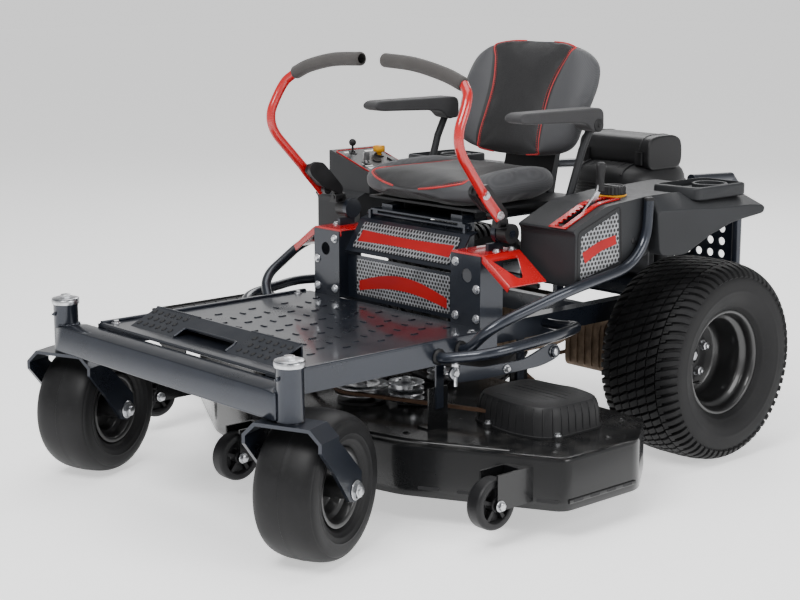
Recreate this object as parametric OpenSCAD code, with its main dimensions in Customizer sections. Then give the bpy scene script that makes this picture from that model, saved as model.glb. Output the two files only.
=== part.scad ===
// Zero turn mower, millimetres, +Z up. The machine drives towards -Y and the operator's left is +X.
// Origin: on the ground, under the middle of the whole machine's box.

/* [Rear wheels] */
// Rear tyre radius
rear_r = 260; // [230:1:290]
// Rear tyre width
rear_w = 254; // [210:1:270]
// Bead seat radius of the rear rim
rear_rim_r = 128; // [115:1:140]
// Distance between the rear tyres' middles
rear_track = 894; // [870:1:960]
// Rear axle shaft radius
axle_r = 17.5; // [14:0.5:20]

/* [Casters] */
// Caster tyre radius
caster_r = 165; // [140:1:180]
// Caster tyre width
caster_w = 150; // [120:1:160]
// Distance between the caster pivots
caster_track = 888; // [840:1:920]
// Rear axle to the caster pivots
wheelbase = 1332; // [1300:1:1420]
// Distance of a caster's axle behind its pivot
trail = 107; // [95:1:120]
// Stored swivel angle of both casters
swivel = 22; // [0:1:40]
// Caster spindle radius
spindle_r = 19; // [16:0.5:22]
// Height of the pivot tube's top
pivot_top = 450; // [440:1:480]
// Height of the pivot tube
pivot_h = 118; // [110:1:122]

/* [Frame] */
// Height of the floor pan's top
floor_z = 406; // [400:1:420]
// Half of the floor pan's width
pan_half = 355; // [335:1:365]
// Side rail height
rail_h = 50; // [40:1:56]
// Side rail width
rail_w = 40; // [30:1:46]
// Rail tube wall
rail_t = 4; // [3:0.5:6]
// Middle of each rear rail from the mid plane
rear_rail_x = 265; // [250:1:272]
// Front face of the uprights, forward of the rear axle
tower_y = 656; // [640:1:680]
// Height of the uprights' top
tower_z = 580; // [560:1:590]
// Guard and bumper tube radius
tube_r = 13; // [10:0.5:15]
// Hitch hole radius
hitch_r = 9.5; // [8:0.5:11]
// Hitch plate thickness
hitch_t = 8; // [6:0.5:10]

/* [Deck] */
// Half of the deck shell's width
deck_half = 700; // [690:1:720]
// Height of the deck's lower edge
deck_z = 70; // [62:1:76]
// Height of the deck shell
deck_h = 120; // [110:1:126]
// Deck steel thickness
deck_t = 4; // [3:0.5:5]
// Blade length
blade_l = 440; // [400:1:446]
// Spacing of the spindles across the machine
spindle_gap = 450; // [448:1:460]
// Spindle shaft radius
shaft_r = 12.5; // [10:0.5:14]
// Gauge wheel radius
gauge_r = 59; // [50:1:62]
// Reach of the discharge chute from the mid plane
chute_reach = 880; // [860:1:900]

/* [Controls] */
// Lap bar tube radius
bar_r = 11; // [9:0.5:12.5]
// Grip radius
grip_r = 17; // [15:0.5:19]
// Height of the lap bars' grip ends
grip_z = 1034; // [1000:1:1060]
// Height of the lap bar pivots
lever_z = 626; // [620:1:632]

/* [Seat] */
// Half of the seat cushion's width
seat_half = 245; // [220:1:250]
// Height of the cushion's underside
seat_z = 672; // [668:1:684]
// Cushion thickness
seat_h = 85; // [60:1:95]
// Height of the seat back's top
back_z = 1090; // [1040:1:1110]
// Height of the armrests' top
arm_z = 908; // [890:1:925]

/* [Engine] */
// Engine cover radius
cover_r = 146; // [130:1:150]
// Height of the engine cover's top
cover_z = 796; // [770:1:810]
// Engine shaft, behind the rear axle
engine_y = 242; // [235:1:250]
// Crankshaft radius
crank_r = 14; // [12:0.5:16]

/* [Hidden] */
$fn = 48;

fit = 0.05;                 // radial running clearance
gap = 0.3;                  // clearance where two bodies pass
sheet = 3;                  // sheet metal thickness
rear_x = rear_track / 2;
rail_top = floor_z - sheet;
rail_bot = rail_top - rail_h;
beam_d = 70;                // front beam depth
beam_h = 64;                // front beam height
beam_top = floor_z - 8;
beam_back = -wheelbase + beam_d / 2;
tube_pivot_r = 30;          // caster pivot tube radius
pivot_bot = pivot_top - pivot_h;
rear_rail_end = 400;
flange_t = 5;
bumper_y = rear_rail_end + flange_t + tube_r + gap;
rear_end = bumper_y + tube_r * 1.03;   // rearmost reach behind the axle
caster_reach = wheelbase - trail * cos(swivel) + caster_r * cos(swivel) + 0.62 * caster_w / 2 * sin(swivel);
x_mid = (chute_reach - deck_half) / 2;
y_mid = (caster_reach - rear_end) / 2;
deck_top = deck_z + deck_h;
tower_half = 51;            // half width of an upright
tower_x = 262;              // middle of an upright
lever_x = 317;              // outer face of the lap bar pivots
lever_y = -556;
engine_floor = rail_top + 5;
hitch_z = rail_bot - 60;      // underside of the hitch plate
hitch_y = rear_rail_end + flange_t + 13;
hub_plane = rear_x - 26;    // inner face of the rear wheel's disc
spindle_y = -590;           // outer spindles
spindle_c_y = -760;         // middle spindle
belt_z = deck_top + 32;
belt_h = 10;
pulley_r = 62;
console_x0 = 300;           // inner side of a console
console_x1 = 480;           // outer side of a console
hanger_x_front = pan_half - 32;
hanger_y_front = -800;
hanger_x_rear = rear_rail_x - 10;
hanger_y_rear = -460;
lift_x = 430;               // height lever
lift_pin_y = -460;
lift_z = 545;
fender_z = 690;

// --- shared shapes ---
module at_middle() translate([x_mid, y_mid, 0]) children();
module right() mirror([1, 0, 0]) children();
module both() {
    children();
    right() children();
}
// a round bar between two points
module bar(a, b, r) translate(a) aim(b - a) cylinder(h = norm(b - a), r = r);
// turns the Z axis to a direction
module aim(d) rotate([0, acos(d[2] / norm(d)), atan2(d[1], d[0])]) children();
// a bent tube: straight lengths with a slightly proud ball at each bend
module bent(points, r) {
    for (i = [0 : len(points) - 2])
        bar(points[i], points[i + 1], r);
    for (i = [1 : len(points) - 2])
        translate(points[i]) aim(points[i + 1] - points[i - 1])
            sphere(r = r * 1.03);
}
module along_x(x0, x1, r) translate([x0, 0, 0]) rotate([0, 90, 0]) cylinder(h = x1 - x0, r = r);
module box(lo, hi) translate(lo) cube(hi - lo);
// a side outline of [y, z] points, drawn out from x0 to x1
module side_plate(x0, x1, points)
    translate([x0, 0, 0]) rotate([90, 0, 90]) linear_extrude(height = x1 - x0) polygon(points);
// a front outline of [x, z] points, drawn out from y0 to y1
module front_plate(y0, y1, points)
    translate([0, y1, 0]) rotate([90, 0, 0]) linear_extrude(height = y1 - y0) polygon(points);

// one side of a tyre's section, from the bead to the crown: [radius, half width]
function tyre_side(R, rb, hw, n = 5, p = 0.62) = let (low = rb + 11, rm = (R + low) / 2) concat(
    [[rb, hw * pow(cos(60), p)]],
    [for (i = [0 : n]) let (a = 60 * (1 - i / n)) [rm - (rm - low) * sin(a) / sin(60), hw * pow(cos(a), p)]],
    [for (i = [1 : n]) let (a = 84 * i / n) [rm + (R - rm) * pow(sin(a), p), hw * pow(cos(a), p)]]);
function other_side(s) = [for (i = [len(s) - 1 : -1 : 0]) [s[i][0], -s[i][1]]];
function reversed(s) = [for (i = [len(s) - 1 : -1 : 0]) s[i]];
// a hollow tyre on the X axis
module tyre(R, rb, w, t) {
    outer = tyre_side(R, rb, w / 2);
    inner = tyre_side(R - t, rb, w / 2 - t);
    rotate([0, 90, 0]) rotate_extrude()
        polygon(concat(outer, other_side(outer), reversed(concat(inner, other_side(inner)))));
}
// half of the width between a tyre's beads
function bead_half(w) = w / 2 * pow(cos(60), 0.62);

// --- frame ---
module frame_rails() color("#3c4250") {
    difference() {
        union() {
            both() box([pan_half - rail_w, beam_back, rail_bot], [pan_half, -640, rail_top]);
            both() box([rear_rail_x - rail_w / 2, -680, rail_bot], [rear_rail_x + rail_w / 2, rear_rail_end, rail_top]);
            box([-pan_half, -700, rail_bot], [pan_half, -640, rail_top]);
            box([-pan_half + 20, -1000, rail_bot], [pan_half - 20, -960, rail_top]);
            box([-rear_rail_x, -240, rail_bot], [rear_rail_x, -215, rail_top]);
            both() box([160, -240, rail_top - 1], [175, -215, 636 - gap]);
            both() hanger(hanger_x_front, hanger_y_front);
            both() hanger(hanger_x_rear, hanger_y_rear);
        }
        both() box([pan_half - rail_w + rail_t, beam_back - 1, rail_bot + rail_t],
            [pan_half - rail_t, -700 - rail_t, rail_top - rail_t]);
        both() box([rear_rail_x - rail_w / 2 + rail_t, -640 + rail_t, rail_bot + rail_t],
            [rear_rail_x + rail_w / 2 - rail_t, rear_rail_end + 1, rail_top - rail_t]);
    }
}
// a strip that hangs from a rail beside one of the deck's ears
module hanger(x, y) box([x + gap, y - 12, 240], [x + gap + 5, y + 12, rail_bot + 1]);
module front_beam() color("#3c4250") {
    difference() {
        union() {
            box([-beam_half(), -wheelbase - beam_d / 2, beam_top - beam_h],
                [beam_half(), beam_back, beam_top]);
            both() translate([caster_track / 2, -wheelbase, pivot_bot])
                cylinder(h = pivot_h, r = tube_pivot_r);
        }
        both() translate([caster_track / 2, -wheelbase, pivot_bot - 1])
            cylinder(h = pivot_h + 2, r = spindle_r + fit);
    }
}
function beam_half() = caster_track / 2 - 6;
module floor_pan() color("#3c4250") {
    box([-pan_half, beam_back, rail_top], [pan_half, -tower_y, floor_z]);
}
// a folded foot rest: a slope that rises to the rear, with a notch in its front edge
module foot_step() color("#3c4250") {
    rise = 36;
    difference() {
        side_plate(-281, 281, [[-1252, floor_z], [-1173, floor_z + rise], [-1168, floor_z + rise],
            [-1168, floor_z], [-1172, floor_z], [-1172, floor_z + rise - 4], [-1243, floor_z]]);
        box([-102, -1260, floor_z - 1], [102, -1214, floor_z + rise]);
    }
}
module front_panels() color("#3c4250") {
    box([-tower_x + tower_half, -625, rail_top + sheet], [tower_x - tower_half, -622, 520]);
    side_plate(-205, 205, [[-640, 532], [-585, 612], [-560, 618], [-560, 615], [-583, 609], [-637, 530]]);
    both() difference() {
        box([173, -580, 610], [181, -561, seat_hinge_z + 9]);
        translate([0, seat_hinge_y, seat_hinge_z]) along_x(170, 190, 6 + fit);
    }
}
module uprights() color("#3c4250") both() {
    difference() {
        box([tower_x - tower_half, -tower_y, floor_z], [tower_x + tower_half, -580, tower_z]);
        box([tower_x - tower_half + sheet, -tower_y + sheet, rail_top], [tower_x + tower_half - sheet, -579, tower_z - sheet]);
        translate([tower_x + 4, -tower_y + 10, 530]) rotate([90, 0, 0]) cylinder(h = 20, r = 17);
    }
    box([lever_x - 44, -600, tower_z], [lever_x - 34, -550, lever_z - 24]);
    translate([0, lever_y, lever_z]) {
        along_x(lever_x - 46, lever_x - 32, 26);
        along_x(lever_x - 32, lever_x + 4, 9);
    }
}
module guard_plates() color("#c01a1e") both() {
    difference() {
        front_plate(-650, -526, [[207, tower_z], [313.1, tower_z], [404, tower_z - 64], [406, tower_z - 60],
            [314, tower_z + 4], [207, tower_z + 4]]);
        box([lever_x - 52, -606, tower_z - 20], [lever_x - 28, -540, tower_z + 20]);
    }
}
module guard_tubes() color("#2c2f36") both() {
    tube_x = console_x1 + tube_r * 1.03 + gap;
    bent([[pan_half + gap, -760, rail_top - 22], [pan_half + 24, -760, rail_top - 22], [430, -735, 440],
        [tube_x, -548, 510], [tube_x, -330, 540], [tube_x, -268, 600], [tube_x, -262, 700]], tube_r);
    bent([[pan_half + gap, -830, rail_top - 30], [pan_half + 24, -830, rail_top - 30], [470, -770, 390],
        [488, -560, 408], [420, -420, 396], [330, -400, rail_top - 22],
        [rear_rail_x + rail_w / 2 + gap, -400, rail_top - 22]], tube_r);
}
module rear_bumper() color("#2c2f36") {
    both() bent([[250, bumper_y, rail_bot - 20], [250, bumper_y, 640], [250, bumper_y - 40, 680],
        [250, 205, 688]], tube_r);
    bar([-250, bumper_y, 562], [250, bumper_y, 562], tube_r * 0.9);
    difference() {
        box([-240, bumper_y - 2, 425], [240, bumper_y + 2, 554]);
        for (i = [-5 : 5]) for (j = [0 : 2])
            translate([i * 40, bumper_y + 10, 452 + j * 36]) rotate([90, 0, 0]) cylinder(h = 30, r = 11);
    }
}
module engine_plate() color("#2c2f36") difference() {
    union() {
        box([-rear_rail_x - 20, -60, rail_top], [rear_rail_x + 20, rear_rail_end, engine_floor]);
        box([-rear_rail_x - 20, rear_rail_end, rail_bot - 70], [rear_rail_x + 20, rear_rail_end + flange_t, engine_floor]);
        box([-50, rear_rail_end + flange_t, hitch_z], [50, rear_end - 2, hitch_z + hitch_t]);
    }
    translate([0, engine_y, rail_top - 1]) cylinder(h = 10, r = 45);
    translate([0, hitch_y, hitch_z - 1]) cylinder(h = hitch_t + 2, r = hitch_r);
}

// --- body work ---
console_outline = [[-508, 636], [-520, 646], [-400, 694], [-250, 706], [-150, 706], [-150, 640], [-250, 560],
    [-508, 505]];
module console(s) {
    wall = 4;
    difference() {
        side_plate(console_x0, console_x1, console_outline);
        side_plate(console_x0 + wall, console_x1 - wall, [[-504, 638], [-512, 645], [-400, 690], [-250, 702],
            [-149, 702], [-149, 644], [-250, 566], [-504, 510]]);
        if (s > 0) box([lift_x - 9, -500, 640], [lift_x + 9, -334, 720]);
        if (s > 0) translate([400, -291, 690]) cylinder(h = 30, r = 26);
    }
    if (s > 0) translate([0, lift_pin_y, lift_z]) along_x(console_x0 + wall - 1, console_x1 - wall + 1, 6);
    box([rear_rail_x + 17, -500, rail_top], [rear_rail_x + 20, -430, 560]);
    box([rear_rail_x + 17, -500, 557], [console_x0 + wall, -430, 560]);
}
module console_l() color("#26282b") console(1);
module console_r() color("#26282b") right() console(-1);
module fenders() color("#26282b") both() difference() {
    side_plate(console_x0 - 70, 574, [[-150, 612], [-150, fender_z], [60, fender_z + 8], [100, fender_z + 4],
        [92, fender_z - 36], [-40, fender_z - 52]]);
    side_plate(console_x0 - 66, 570, [[-151, 610], [-151, fender_z - 4], [60, fender_z + 4], [94, fender_z],
        [87, fender_z - 40], [-40, fender_z - 56]]);
}
module control_panel() color("#1d1f21") right() difference() {
    front_plate(-490, -330, [[console_x0 - 18, 640], [console_x0 - 18, 712], [console_x1 - 40, 762],
        [console_x1 - 30, 762], [console_x1 - 30, 640]]);
    front_plate(-486, -334, [[console_x0 - 14, 630], [console_x0 - 14, 709], [console_x1 - 42, 757],
        [console_x1 - 34, 757], [console_x1 - 34, 630]]);
    side_plate(console_x0 - 30, console_x1, console_outline);
    for (c = panel_controls())
        translate(c) cylinder(h = 60, r = 6.8, center = true);
}
// middles of the panel's three openings, on the operator's right
function panel_z(x) = 712 + (x - console_x0 + 18) * 50 / (console_x1 - console_x0 - 22);
function panel_controls() = [for (p = [[380, -370], [340, -450], [410, -440]]) [p[0], p[1], panel_z(p[0])]];
module pto_knob() color("#e2a21a") right() translate(panel_controls()[0]) {
    translate([0, 0, -20]) cylinder(h = 34, r = 6);
    translate([0, 0, 14]) cylinder(h = 14, r = 16);
}
module ignition_key() color("#b8bbbe") right() translate(panel_controls()[1]) {
    translate([0, 0, -20]) cylinder(h = 30, r = 6);
    translate([-1.5, -10, 10]) cube([3, 20, 22]);
}
module throttle_lever() color("#17181a") right() translate(panel_controls()[2]) {
    along_x(-5, 5, 4);
    cylinder(h = 30, r = 3);
    translate([0, 0, 30]) sphere(r = 10);
}
module fuel_cap() color("#151617") translate([400, -291, 706]) {
    cylinder(h = 22, r = 34);
    translate([0, 0, -22]) cylinder(h = 24, r = 25.5);
}

// --- engine and drive ---
module engine_block() color("#2a2b2d") translate([0, engine_y, engine_floor]) {
    difference() {
        union() {
            cylinder(h = 120, r = 105);
            for (a = [-45, 45]) rotate([0, 0, a - 90]) box([60, -55, 20], [185, 55, 118]);
            box([-90, 0, 30], [90, 100, 95]);
        }
        translate([0, 0, -1]) cylinder(h = 122, r = crank_r + fit);
    }
}
module engine_cover() color("#1a1b1d") translate([0, engine_y, 0]) difference() {
    base = engine_floor + 120;
    union() {
        translate([0, 0, base]) cylinder(h = cover_z - base - 40, r = cover_r);
        translate([0, 0, cover_z - 40]) cylinder(h = 40, r1 = cover_r, r2 = cover_r - 45);
    }
    translate([0, 0, base + sheet]) cylinder(h = cover_z - base - 48, r = cover_r - 5);
    translate([0, 0, base - 1]) cylinder(h = sheet + 2, r = crank_r + 3);
}
module muffler() color("#6b6a68") {
    translate([0, engine_y + 135, 471]) along_x(-110, 110, 20);
    both() bar([60, engine_y + 130, 471], [60, engine_y + 100 + gap, 471], 11);
}
module hydro_units() color("#8a7f6d") both() {
    difference() {
        union() {
            box([95, -120, 190], [235, 110, rail_bot - 8]);
            translate([0, 0, rear_r]) along_x(234, hub_plane - 16, 40);
            translate([165, -60, rail_bot - 9]) cylinder(h = 12, r = 38);
            box([200, -30, rail_bot - 9], [rear_rail_x + 18, 30, rail_bot]);
        }
        translate([0, 0, rear_r]) along_x(200, hub_plane, axle_r + fit);
    }
}
module crankshaft() color("#9a9da1") translate([0, engine_y, 0]) {
    translate([0, 0, 196]) cylinder(h = engine_floor + 120 - 196 + 12, r = crank_r);
    translate([0, 0, engine_floor + 126]) cylinder(h = 12, r = 100);
    for (z = [0 : 1])
        translate([0, 0, belt_z + z * 60]) pulley(pulley_r - z * 8, crank_r - 1);
    translate([0, 0, belt_z + belt_h + 10]) cylinder(h = 40, r = 46);
}
// a V pulley on the Z axis with its groove's middle at z = 0
module pulley(r, bore) difference() {
    rotate_extrude() polygon([[bore, -belt_h], [r + 7, -belt_h], [r + 7, -belt_h + 3], [r - 5 - gap, -5],
        [r - 5 - gap, 5], [r + 7, belt_h - 3], [r + 7, belt_h], [bore, belt_h]]);
}

// --- rear wheels, casters ---
module rear_rim() translate([rear_x, 0, rear_r]) {
    lip = bead_half(rear_w) + 3;
    rotate([0, 90, 0]) rotate_extrude() polygon([[rear_rim_r, -lip], [rear_rim_r + 9, -lip - 2],
        [rear_rim_r + 9, -lip - 7], [rear_rim_r - 6, -lip - 7], [rear_rim_r - 6, -30], [35, -26], [35, -20],
        [rear_rim_r - 14, -22], [rear_rim_r - 6, -14], [rear_rim_r - 6, lip + 7], [rear_rim_r + 9, lip + 7],
        [rear_rim_r + 9, lip + 2], [rear_rim_r, lip]]);
    // the hub flange, its shaft and the five nuts that hold the rim
    along_x(-38, -26, 72);
    along_x(-26, -8, 30);
    along_x(-rear_x + 240, -38, axle_r);
    for (a = [0 : 72 : 288]) rotate([a, 0, 0]) translate([0, 0, 57]) {
        along_x(-26, -2, 6);
        rotate([0, 90, 0]) translate([0, 0, -20]) cylinder(h = 14, r = 11, $fn = 6);
    }
}
module rear_rim_l() color("#101114") rear_rim();
module rear_rim_r() color("#101114") right() rear_rim();
module rear_tyre() translate([rear_x, 0, rear_r]) tyre(rear_r, rear_rim_r, rear_w, 15);
module rear_tyre_l() color("#17181a") rear_tyre();
module rear_tyre_r() color("#17181a") right() rear_tyre();

module at_caster(s) translate([s * caster_track / 2, -wheelbase, 0]) rotate([0, 0, swivel]) children();
leg_in = caster_w / 2 + 12;
leg_t = 8;
fork_top = pivot_bot - 2;
module caster_fork(s) color("#3c4250") at_caster(s) {
    shoulder = 28;
    intersection() {
        front_plate(-60, 200, [[-leg_in - leg_t, 100], [-leg_in - leg_t, fork_top - shoulder],
            [-leg_in + shoulder - leg_t, fork_top], [leg_in - shoulder + leg_t, fork_top],
            [leg_in + leg_t, fork_top - shoulder], [leg_in + leg_t, 100], [leg_in, 100],
            [leg_in, fork_top - shoulder - 3], [leg_in - shoulder + 4, fork_top - leg_t],
            [-leg_in + shoulder - 4, fork_top - leg_t], [-leg_in, fork_top - shoulder - 3], [-leg_in, 100]]);
        side_plate(-150, 150, [[-39, fork_top + 1], [36, fork_top + 1], [36, fork_top - 40], [60, 270],
            [trail + 28, 200], [trail + 28, 150], [trail, 138], [trail - 26, 146], [20, 220], [-39, 282]]);
    }
    translate([0, 0, fork_top]) cylinder(h = 1.4, r = tube_pivot_r - 2);
    translate([0, 0, fork_top]) cylinder(h = pivot_top + 6 - fork_top, r = spindle_r);
    translate([0, 0, pivot_top + gap]) cylinder(h = 11, r = tube_pivot_r + 3);
    translate([0, 0, pivot_top + 11]) cylinder(h = 9, r = 11, $fn = 6);
    translate([0, trail, caster_r]) {
        along_x(-leg_in - leg_t - 6, leg_in + leg_t + 6, 9.5);
        for (x = [-leg_in - leg_t - 8, leg_in + leg_t])
            translate([x, 0, 0]) rotate([0, 90, 0]) cylinder(h = 8, r = 15, $fn = 6);
    }
}
module caster_fork_l() caster_fork(1);
module caster_fork_r() caster_fork(-1);
caster_rim_r0 = 84;
module caster_rim(s) color("#101114") at_caster(s) translate([0, trail, caster_r])
    rotate([0, 90, 0]) rotate_extrude() let (w = bead_half(caster_w) + 3)
        polygon([[9.5 + fit, -leg_in + 3], [22, -leg_in + 3], [22, -6], [caster_rim_r0 - 7, -6],
            [caster_rim_r0 - 7, -w - 4], [caster_rim_r0 + 6, -w - 4], [caster_rim_r0 + 6, -w],
            [caster_rim_r0, -w], [caster_rim_r0, w], [caster_rim_r0 + 6, w], [caster_rim_r0 + 6, w + 4],
            [caster_rim_r0 - 7, w + 4], [caster_rim_r0 - 7, 6], [22, 6], [22, leg_in - 3], [9.5 + fit, leg_in - 3]]);
module caster_rim_l() caster_rim(1);
module caster_rim_r() caster_rim(-1);
module caster_tyre(s) color("#17181a") at_caster(s) translate([0, trail, caster_r])
    tyre(caster_r, caster_rim_r0, caster_w, 12);
module caster_tyre_l() caster_tyre(1);
module caster_tyre_r() caster_tyre(-1);

// --- seat ---
seat_hinge_y = -570;
seat_hinge_z = 626;
module seat_base() color("#202224") {
    box([-171, -580, 636], [171, -200, 640]);
    both() box([110, -560, 640], [150, -220, 652]);
    translate([0, seat_hinge_y, seat_hinge_z]) along_x(-190, 190, 6);
    both() box([150, seat_hinge_y - 6, seat_hinge_z], [170, seat_hinge_y + 6, 636]);
}
module seat_pan() color("#18191b") {
    box([-200, -560, seat_z - 8], [200, -166, seat_z - 2 - gap]);
    both() box([106, -520, 640 + gap], [109.5, -240, seat_z - 8]);
    both() box([150.5, -520, 640 + gap], [154, -240, seat_z - 8]);
    both() box([106, -520, 655], [154, -240, seat_z - 8]);
    both() bent([[199, -300, seat_z - 13], [262, -300, seat_z], [266, -255, 800], [266, -222, arm_z - 45]], 10);
    both() translate([0, -222, arm_z - 45]) along_x(250 + gap, 282 - gap, 18);
    side_plate(-90, 90, [[-190, seat_z - 8], [-166, seat_z - 8], [-97.2, 1000], [-103.2, 1000]]);
}
module seat_cushion() color("#3a3b3d") hull() both() {
    translate([seat_half - 60, -560, seat_z + 30]) cylinder(h = seat_h - 50, r = 60, $fn = 32);
    translate([seat_half - 100, -535, seat_z - 2]) cylinder(h = 10, r = 50, $fn = 32);
    translate([seat_half - 60, -270, seat_z + 20]) cylinder(h = seat_h - 20, r = 40, $fn = 32);
    translate([seat_half - 100, -270, seat_z - 2]) cylinder(h = 10, r = 40, $fn = 32);
}
module seat_back() color("#3a3b3d") hull() both() {
    back = [[-238, 775, 190, 42], [-190, 880, 196, 38], [-150, 980, 190, 36], [-128, back_z - 60, 130, 34]];
    for (p = back) translate([p[2], p[0], p[1]]) rotate([-12, 0, 0]) cylinder(h = 30, r = p[3], $fn = 24);
}
module armrest() translate([0, 0, arm_z]) difference() {
    union() {
        side_plate(236, 292, [[-505, -10], [-495, 0], [-210, 0], [-200, -12], [-200, -60], [-240, -60],
            [-260, -38], [-480, -30], [-503, -22]]);
    }
    box([250, -245, -70], [282, -199, -22]);
}
module armrest_l() color("#1c1d1f") armrest();
module armrest_r() color("#1c1d1f") right() armrest();

// --- lap bars ---
bar_foot = [lever_x + 14, -612, 672];
bar_top = [lever_x + 14, -660, 724];
out_z = lever_z + 26;
module lever_yoke() translate([0, lever_y, lever_z]) {
    ear_z = out_z - lever_z + 4;
    difference() {
        along_x(lever_x - 30, lever_x + 2, 24);
        along_x(lever_x - 31, lever_x + 5, 9 + fit);
    }
    translate([lever_x - 30, -42, 16]) cube([32, 34, 2.5]);
    for (y = [-42, -16]) {
        translate([lever_x - 14, y, ear_z]) rotate([-90, 0, 0]) cylinder(h = 8, r = 11);
        translate([lever_x - 25, y, 16]) cube([22, 8, ear_z - 16]);
    }
    translate([lever_x - 14, -44, ear_z]) rotate([-90, 0, 0]) cylinder(h = 40, r = 5);
}
module lever_yoke_l() color("#17181a") lever_yoke();
module lever_yoke_r() color("#17181a") right() lever_yoke();
module lever_bracket() {
    translate([lever_x - 14, -589.5, out_z + 4]) rotate([-90, 0, 0]) difference() {
        cylinder(h = 17, r = 11);
        translate([0, 0, -1]) cylinder(h = 20, r = 5 + fit);
    }
    difference() {
        side_plate(lever_x - 22, lever_x + 3, [[-589, 666], [-573, 666], [-573, 680], [-596, 706], [-640, 752],
            [-672, 748], [-680, 730], [-640, 690], [-600, 677], [-589, 675]]);
        side_plate(lever_x - 10, lever_x + 4, [[-600, 684], [-650, 728], [-662, 722], [-618, 684]]);
    }
}
module lever_bracket_l() color("#17181a") lever_bracket();
module lever_bracket_r() color("#17181a") right() lever_bracket();
grip_start = [312, -712, 988];
module lap_bar() {
    bent([bar_foot, bar_top, [352, -780, 861], [346, -728, 962], grip_start], bar_r);
    for (p = [bar_foot, bar_top]) translate([0, p[1] - 4, p[2] + 6]) along_x(lever_x + 3, lever_x + 30, 6);
}
module lap_bar_l() color("#c01a1e") lap_bar();
module lap_bar_r() color("#c01a1e") right() lap_bar();
module grip() bent([grip_start, [250, -716, 1008], [150, -719, grip_z - 6], [41, -719, grip_z]], grip_r);
module grip_l() color("#3b3a38") grip();
module grip_r() color("#3b3a38") right() grip();
// a flat strip lever with a rubber grip
module height_lever() color("#b8bbbe") {
    difference() {
        union() {
            side_plate(lift_x - 3, lift_x + 3, [[lift_pin_y - 8, lift_z], [-436, 674], [-374, 732], [-364, 732],
                [-364, 716], [-424, 664], [lift_pin_y + 8, lift_z]]);
            translate([0, lift_pin_y, lift_z]) along_x(lift_x - 12, lift_x + 12, 16);
        }
        translate([0, lift_pin_y, lift_z]) along_x(lift_x - 13, lift_x + 13, 6 + fit);
    }
    translate([lift_x, -369, 724]) cylinder(h = 70, r = 13);
}

// --- mower deck ---
deck_front = -1010;
deck_back = -345;
// the shell's plan outline, drawn in by t all round
function deck_outline(t) = let (w = deck_half - t, f = deck_front + t, b = deck_back - t) [
    [w, -770 + t / 2], [360, -955 + t], [150, f + 8], [-150, f + 8], [-360, -955 + t], [-w, -770 + t / 2],
    [-w, -520 - t / 2], [-590, -370 - t], [-200, b], [200, b], [590, -370 - t], [w, -520 - t / 2]];
function spindles() = [[spindle_gap, spindle_y], [0, spindle_c_y], [-spindle_gap, spindle_y]];
housing_r = 46;
module deck_shell() color("#121315") difference() {
    translate([0, 0, deck_z]) linear_extrude(height = deck_h) polygon(deck_outline(0));
    translate([0, 0, deck_z - 1]) linear_extrude(height = deck_h - deck_t + 1) polygon(deck_outline(deck_t));
    box([-deck_half - 1, -745, deck_z - 1], [-deck_half + deck_t + 1, -545, deck_top - 14]);
    for (c = spindles()) translate([c[0], c[1], deck_top - deck_t - 1]) cylinder(h = deck_t + 2, r = housing_r - 12);
}
module spindle_housings() color("#8d9094") for (c = spindles()) translate([c[0], c[1], 0]) difference() {
    union() {
        translate([0, 0, deck_top]) cylinder(h = 6, r = housing_r + 16);
        translate([0, 0, deck_z + 52]) cylinder(h = belt_z - belt_h - 8 - deck_z - 52, r = housing_r - 13);
    }
    translate([0, 0, deck_z]) cylinder(h = 200, r = shaft_r + fit);
}
// a blade with its shaft, bolt and pulley
module blade(c, turn) translate([c[0], c[1], 0]) {
    blade_z = deck_z + 22;
    rotate([0, 0, turn]) {
        box([-blade_l / 2, -30, blade_z], [blade_l / 2, 30, blade_z + 5]);
        both() side_lift(blade_z);
    }
    translate([0, 0, blade_z - 11]) cylinder(h = 12, r = 14, $fn = 6);
    translate([0, 0, blade_z + 4]) cylinder(h = deck_z + 52 - gap - blade_z - 4, r = 24);
    translate([0, 0, blade_z + 4]) cylinder(h = belt_z + belt_h + 12 - blade_z - 4, r = shaft_r);
    translate([0, 0, belt_z]) pulley(pulley_r, shaft_r - 1);
}
// the raised sail behind a blade's cutting edge
module side_lift(z) translate([blade_l / 2 - 91, 27, z]) rotate([35, 0, 0]) cube([90, 22, 4]);
module blade_l() color("#3a3c40") blade(spindles()[0], 20);
module blade_c() color("#3a3c40") blade(spindles()[1], 75);
module blade_r() color("#3a3c40") blade(spindles()[2], 20);
module belt_covers() color("#1c1d1f") both() translate([spindle_gap, spindle_y, 0]) difference() {
    union() {
        translate([0, 0, deck_top]) cylinder(h = 78, r = 128);
        box([-150, -40, deck_top], [30, 110, deck_top + 60]);
    }
    translate([0, 0, deck_top - 1]) cylinder(h = 75, r = 124);
    box([-151, -36, deck_top - 1], [30, 106, deck_top + 56]);
    box([-160, -130, deck_top - 1], [-30, 130, belt_z + belt_h + 6]);
}
// the belt's loop, r out from the pulleys' middles and drawn in where the idlers press it
module belt_outline(r) offset(r = r) polygon([[0, engine_y], [12, -330], [spindle_gap, spindle_y],
    [0, spindle_c_y], [-spindle_gap, spindle_y], [-12, -330]]);
module deck_belt() color("#4a3a30") translate([0, 0, belt_z - 4]) linear_extrude(height = 8) difference() {
    belt_outline(pulley_r + 5);
    belt_outline(pulley_r - 5);
}
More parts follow.
